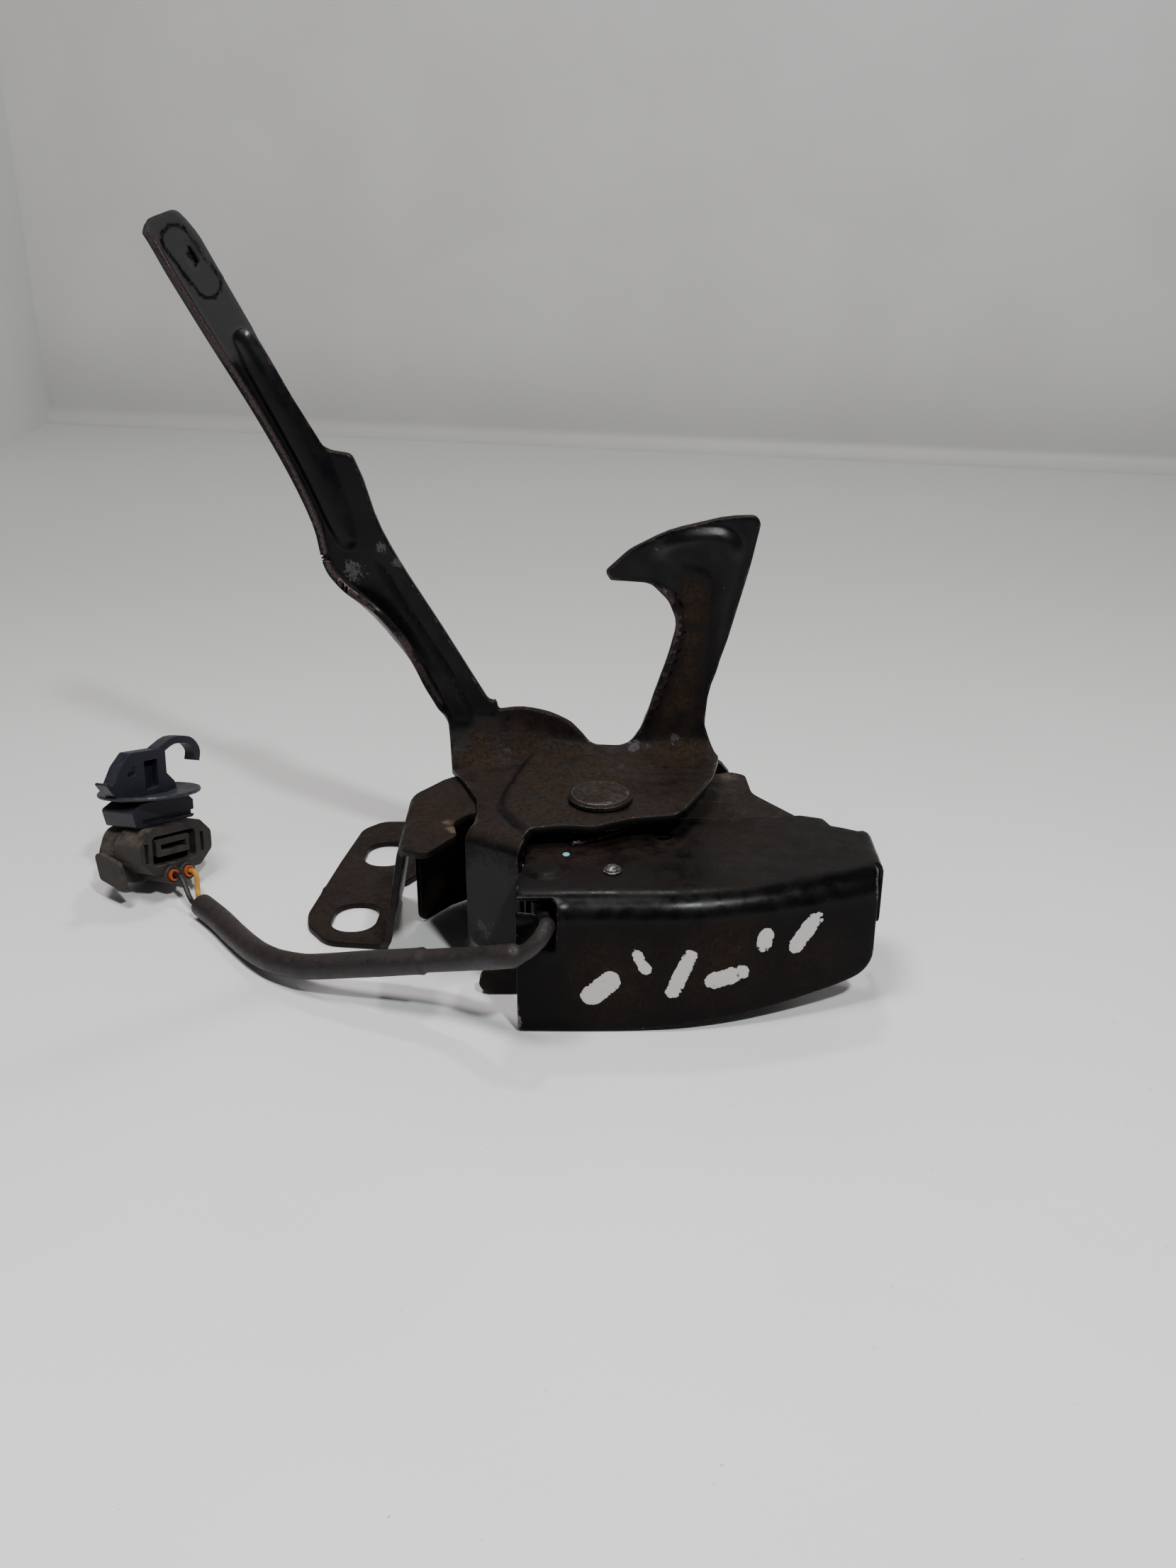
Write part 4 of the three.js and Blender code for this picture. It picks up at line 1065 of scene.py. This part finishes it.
# The pawl shaft's hole in both upright walls, and the fork pin's in the rear one: (x, z, radius).
SHAFT_HOLE = (55, 31, 3.4)
FORK_PIN_HOLE = (97, 26, 4.3)


def base_point(x, y):
    """The flat place of a point of the plan. Beyond the bracket wall the flange isn't folded."""
    if y > FLAT_FROM and x < 20:
        return (x + 20, y)
    return (float(np.interp(x, BASE_SECTION[:, 0], BASE_LENGTH)), y)


def base_surface(flat):
    u, y = flat[:, 0], flat[:, 1]
    stays = (y > FLAT_FROM) & (u < 42)
    x = np.where(stays, u - 20, np.interp(u, BASE_LENGTH, BASE_SECTION[:, 0]))
    z = np.where(stays, 1, np.interp(u, BASE_LENGTH, BASE_SECTION[:, 1]))
    crease = np.array([(15, -30), (24, -33), (31, -40), (37, -50)], float)
    raised = smooth(z, 36, 39.5)
    z = z - 0.9 * hump(from_line(np.stack([x, y], 1), crease), 3) * raised
    z = z - 0.8 * smooth(y, -44, -56) * raised
    ridge = np.array([(9, -9), (-14, -3)], float)
    lift = 0.35 * hump(from_line(np.stack([x, y], 1), ridge), 1.4) * smooth(x, 7, 2)
    return np.stack([x, y, z + lift], 1)


def base_paint(points):
    dust = spots(
        points,
        [
            (27, -38, 41, 7, 0.6), (18, -30, 40, 9, 0.5), (10, -36, 12, 8, 0.45),
            (11, -42, 20, 7, 0.5), (-2, -20, 2, 16, 0.2),
        ],
    )
    pale = spots(points, [(30, -42, 41, 3.6, 1), (27, -37, 41, 3, 0.6), (106, 3, 36, 6, 0.42)])
    wear = spots(points, [(9, -37, 3, 5, 0.25), (16, -52, 38, 4, 0.15), (21, -56, 40, 4, 0.12)])
    return {"dust": dust, "wear": wear, "pale": pale}


def rounded_slot(x, y):
    """An oblong bolt hole; its sides lean a little."""
    return rounded([(x - 7, y - 8.5, 6), (x + 6, y - 8.5, 6), (x + 7, y + 8.5, 6), (x - 6, y + 8.5, 6)])


def base_plate():
    plan = rounded(
        [
            (4.8, 44.7, 2), (-2.6, 44.7, 6), (-8.5, 38.7, 8), (-12.3, 15.2, 60), (-16.8, -18, 12),
            (-15.6, -25, 8), (-9.2, -33.9, 8), (6.6, -35.8, 3), (9.5, -38), (17.3, -52.5),
            (22.5, -56.2, 3), (30.2, -46.2, 2), (28.6, -36.4, 2), (34, -32), (44, -44.5),
            (48.4, -50), (122, -50, 3), (125, -47, 3), (125, -27, 4), (112.3, -8.8, 8),
            (111.6, 4.4, 3), (107, 7, 3), (101, 3.2, 3), (100, 13.8, 1), (77.5, 13.8, 1),
            (77.5, 6.5, 3), (68.5, 6.5, 3), (68.5, 13.8, 1), (43, 13.8, 1), (43, -1, 3),
            (28.1, -6.2, 4), (23.7, -9.9, 4), (16.9, -19.5, 3), (7.5, -2.6, 2), (6.6, 0.4, 1.5),
            (9.6, 2.4, 2), (14, 9, 8), (14, 38, 6), (9, 44.2, 6),
        ]
    )
    outline = [base_point(*p) for p in divide(plan, 0.8)]
    slots = [rounded_slot(-2.6, -20), rounded_slot(1.5, 21)]
    holes = [*slots, circle(*PIVOT_HOLE), circle(*SMALL_HOLE, 16)]
    cuts = [np.array([base_point(*p) for p in hole]) for hole in holes]
    loops = [np.array(outline), *cuts]
    folded = sheet_metal(
        "base_plate_sheet", loops, base_surface, BASE_SHEET, 1.3, COATS["base"], base_paint, 0.4
    )

    def upright(name, loops, at):
        def surface(flat):
            return np.stack([flat[:, 0], np.full(len(flat), at), flat[:, 1]], 1)

        return sheet_metal(name, loops, surface, BASE_SHEET, 2.2, COATS["base"], None, 0.4)

    rear = rounded(
        [
            (43, 36.1, 1), (43, 4, 4), (47, 0.4), (108, 0.4), (112, 4, 4), (112, 26, 4),
            (104, 31, 3), (100, 36.1, 1), (77.5, 36.1), (77.5, 25.5, 4.49), (68.5, 25.5, 4.49),
            (68.5, 36.1),
        ]
    )
    front = rounded(
        [(48.4, 36.1, 1), (48.4, 9, 4), (53, 4, 3), (118, 4, 3), (122, 8, 3), (122, 36.1, 1)]
    )
    shaft = circle(*SHAFT_HOLE)
    rear_wall = upright("base_rear_wall", [rear, circle(*FORK_PIN_HOLE), shaft], 13)
    front_wall = upright("base_front_wall", [front, shaft], -49)
    path = rounded(
        [(16.3, -21), (23.9, -10.8, 4.5), (28.5, -7.1, 4.5), (43.2, -1.9)],
        closed=False,
        step=math.pi / 40,
    )
    reach = np.concatenate([[0], np.cumsum(np.linalg.norm(np.diff(path, axis=0), axis=1))])

    def curved(flat):
        x, y = (np.interp(flat[:, 0], reach, path[:, axis]) for axis in (0, 1))
        return np.stack([x, y, flat[:, 1]], 1)

    strip = rounded([(0, 39.8, 1), (0, 0.8, 3), (reach[-1], 0.8, 3), (reach[-1], 39.8, 1)])
    rim = sheet_metal("base_rear_rim", [strip], curved, 1.7, 1.6, COATS["base"], None, 0.4)
    for made in (folded, rear_wall, front_wall, rim):
        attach(made, "base")
    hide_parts("base_plate")


# ---- lead

# The route of the lead's middle, from the switch to the connector.
LEAD = [
    (54.6, -72.4, 29), (54.8, -74.8, 29.6), (54.8, -78.2, 31.6), (54.2, -81.2, 31.6),
    (52.4, -82.9, 29.6), (48.9, -83.1, 26.8), (43.5, -81, 24.6), (35, -74.5, 20.2), (23, -69, 16.3),
    (7.1, -64, 12.4), (-7.4, -59, 8.6), (-13.6, -55.6, 7), (-20.5, -50.3, 5.4), (-27.1, -43.2, 4.3),
    (-34.5, -33.4, 3.7), (-40.6, -24.9, 3.6), (-47.9, -16.1, 3.6),
]
LEAD_RADIUS = 3.5
# The thick sheath begins at this x; towards the switch the lead is thinner.
SEAM_AT = 23.0


def lead():
    line = along_line(LEAD, 260)
    data = bpy.data.curves.new("lead", "CURVE")
    data.dimensions = "3D"
    data.bevel_depth = LEAD_RADIUS * MM
    data.bevel_resolution = 6
    data.use_fill_caps = True
    spline = data.splines.new("POLY")
    spline.points.add(len(line) - 1)
    for i, (point, place) in enumerate(zip(spline.points, line)):
        point.co = (*(place * MM), 1)
        out = smooth(place[0], 49.5, 46.5) * (1 if place[1] < -70 or place[0] < 46 else 0)
        cuff = 0.045 * math.exp(-(((place[0] - SEAM_AT + 0.6) / 0.7) ** 2))
        swell = 0.03 * math.exp(-(((place[0] - 9) / 7) ** 2))
        sheathed = smooth(place[0], SEAM_AT + 0.4, SEAM_AT - 0.4)
        point.radius = 0.6 + 0.28 * out + 0.12 * sheathed + cuff + swell
    made = bpy.data.objects.new("lead", data)
    data.materials.append(PLASTICS["sheath"])
    link(made)
    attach(made, "base")
    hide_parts("lead_tail", "lead_sheath")


# The middle of the dot of inspection paint.
DOT = Vector((59.3, -51.4, 38.05))


def paint_dot():
    """A dab of light blue inspection paint on the shield's web."""
    bm = bmesh.new()
    bmesh.ops.create_icosphere(bm, subdivisions=3, radius=1)
    bmesh.ops.scale(bm, verts=bm.verts, vec=(0.95, 1.1, 0.22))
    points = [v.co + DOT for v in bm.verts]
    bm.verts.index_update()
    faces = [tuple(v.index for v in f.verts) for f in bm.faces]
    bm.free()
    p = Paint("blue_paint")
    fine = p.noise(0.6, 3)
    p.bump((fine, 0.05))
    color = p.mix(p.step(fine, 0.4, 0.7), (0.2, 0.52, 0.66), (0.09, 0.26, 0.34))
    made = object_of("paint_dot", np.array([tuple(q) for q in points]), faces, p.finish(color, 0.45))
    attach(made, "base")


# ---- carried-over nodes

# Each material with the nodes that wear it, and the bevel of their edges.
FINISHES = (
    (COATS["base"], {"base_plate": 0.35}),
    (COATS["shield"], {"front_shield": 0.25}),
    (COATS["fork"], {"latch_fork": 0.35, "release_lever": 0.35}),
    (METALS["head"], {"safety_rivet": 0.9}),
    (METALS["zinc"], {"pivot_spacer": 0.2, "pawl": 0.3, "switch_bracket": 0.2}),
    (METALS["spring"], {"safety_spring": 0, "fork_spring": 0, "pawl_spring": 0}),
    (METALS["rivet"], {"fork_pin": 0.2, "pawl_shaft": 0, "shaft_retainer": 0.1, "switch_screw": 0}),
    (METALS["dome"], {"bracket_rivet": 0}),
    (PLASTICS["switch"], {"switch_body": 0.3}),
    (PLASTICS["plunger"], {"switch_plunger": 0}),
    (PLASTICS["gland"], {"switch_gland": 0.2}),
    (PLASTICS["tail"], {"lead_tail": 0}),
    (PLASTICS["sheath"], {"lead_sheath": 0}),
    (PLASTICS["black_wire"], {"wire_black": 0}),
    (PLASTICS["yellow_wire"], {"wire_yellow": 0}),
    (PLASTICS["seal"], {"wire_seal_black": 0, "wire_seal_yellow": 0}),
    (
        PLASTICS["connector"],
        {"connector_housing": 0.35, "connector_insert": 0.25, "connector_lock": 0.25},
    ),
    (PLASTICS["clip"], {"harness_clip": 0.25}),
)


def dress_nodes():
    worn_by = [(node, material, width) for material, nodes in FINISHES for node, width in nodes.items()]
    for name, material, width in worn_by:
        node = NODES[name]
        node.data.materials.clear()
        node.data.materials.append(material)
        if node.hide_render:
            continue
        if width:
            flat = node.modifiers.new("flat", "DECIMATE")
            flat.decimate_type = "DISSOLVE"
            flat.angle_limit = math.radians(1)
            bevel = node.modifiers.new("edges", "BEVEL")
            bevel.width = width * MM
            bevel.segments = 2
            bevel.limit_method = "ANGLE"
            bevel.angle_limit = math.radians(35)
            bevel.use_clamp_overlap = True
        node.data.polygons.foreach_set("use_smooth", [True] * len(node.data.polygons))
        node.data.set_sharp_from_angle(angle=math.radians(35))


# ---- build


def build_floor():
    """The floor and two walls of a light box; the back wall stands a little askew."""
    corner, right = Vector((-0.356, 0.775, 0)), Vector((1.6, 0.327, 0))
    fillet = 0.012
    along = (right - corner).normalized()
    back = Vector((-along.y, along.x, 0))
    left_end, right_end = corner - back * fillet, right - back * fillet
    front = [(-1.4, -1.4, 0), (1.6, -1.4, 0)]
    floor_faces = [(*front, tuple(right_end), tuple(left_end), (-1.4, left_end.y, 0))]
    wall_rows = []
    for k in range(9):
        a = k / 8 * math.pi / 2
        shift = back * (fillet * math.sin(a))
        lift = Vector((0, 0, fillet * (1 - math.cos(a))))
        wall_rows.append((left_end + shift + lift, right_end + shift + lift))
    wall_rows.append((corner + Vector((0, 0, 1.3)), right + Vector((0, 0, 1.3))))
    wall_faces = [
        (tuple(low[0]), tuple(low[1]), tuple(high[1]), tuple(high[0]))
        for low, high in zip(wall_rows, wall_rows[1:])
    ]
    side = [((-0.353, 0.4, 0), (-0.353, 0.775, 0), (-0.353, 0.775, 0.9), (-0.353, 0.4, 0.9))]
    # The floor gets painted shade towards the back, and the back wall painted shade along its foot.
    floor_board = floor_paint("floor_board", (0.88, 0.86, 0.87), (0.84, 0.825, 0.83), 0.85)
    wall_board = floor_paint("wall_board", (0.56, 0.55, 0.545), (0.53, 0.52, 0.515), foot=0.5)
    side_board = floor_paint("side_board", (0.66, 0.66, 0.65), (0.62, 0.63, 0.62))
    parts = {
        "floor": (floor_faces, floor_board),
        "back_wall": (wall_faces, wall_board),
        "side_wall": (side, side_board),
    }
    for name, (faces, material) in parts.items():
        bm = bmesh.new()
        for face in faces:
            bm.faces.new([bm.verts.new(v) for v in face])
        bmesh.ops.remove_doubles(bm, verts=bm.verts, dist=1e-6)
        mesh = bpy.data.meshes.new(name)
        bm.to_mesh(mesh)
        bm.free()
        mesh.polygons.foreach_set("use_smooth", [name == "back_wall"] * len(mesh.polygons))
        made = bpy.data.objects.new(name, mesh)
        made.data.materials.append(material)
        link(made)


aim_camera()
lead()
light_scene()
build_floor()
safety_lever()
front_shield()
base_plate()
paint_dot()
dress_nodes()
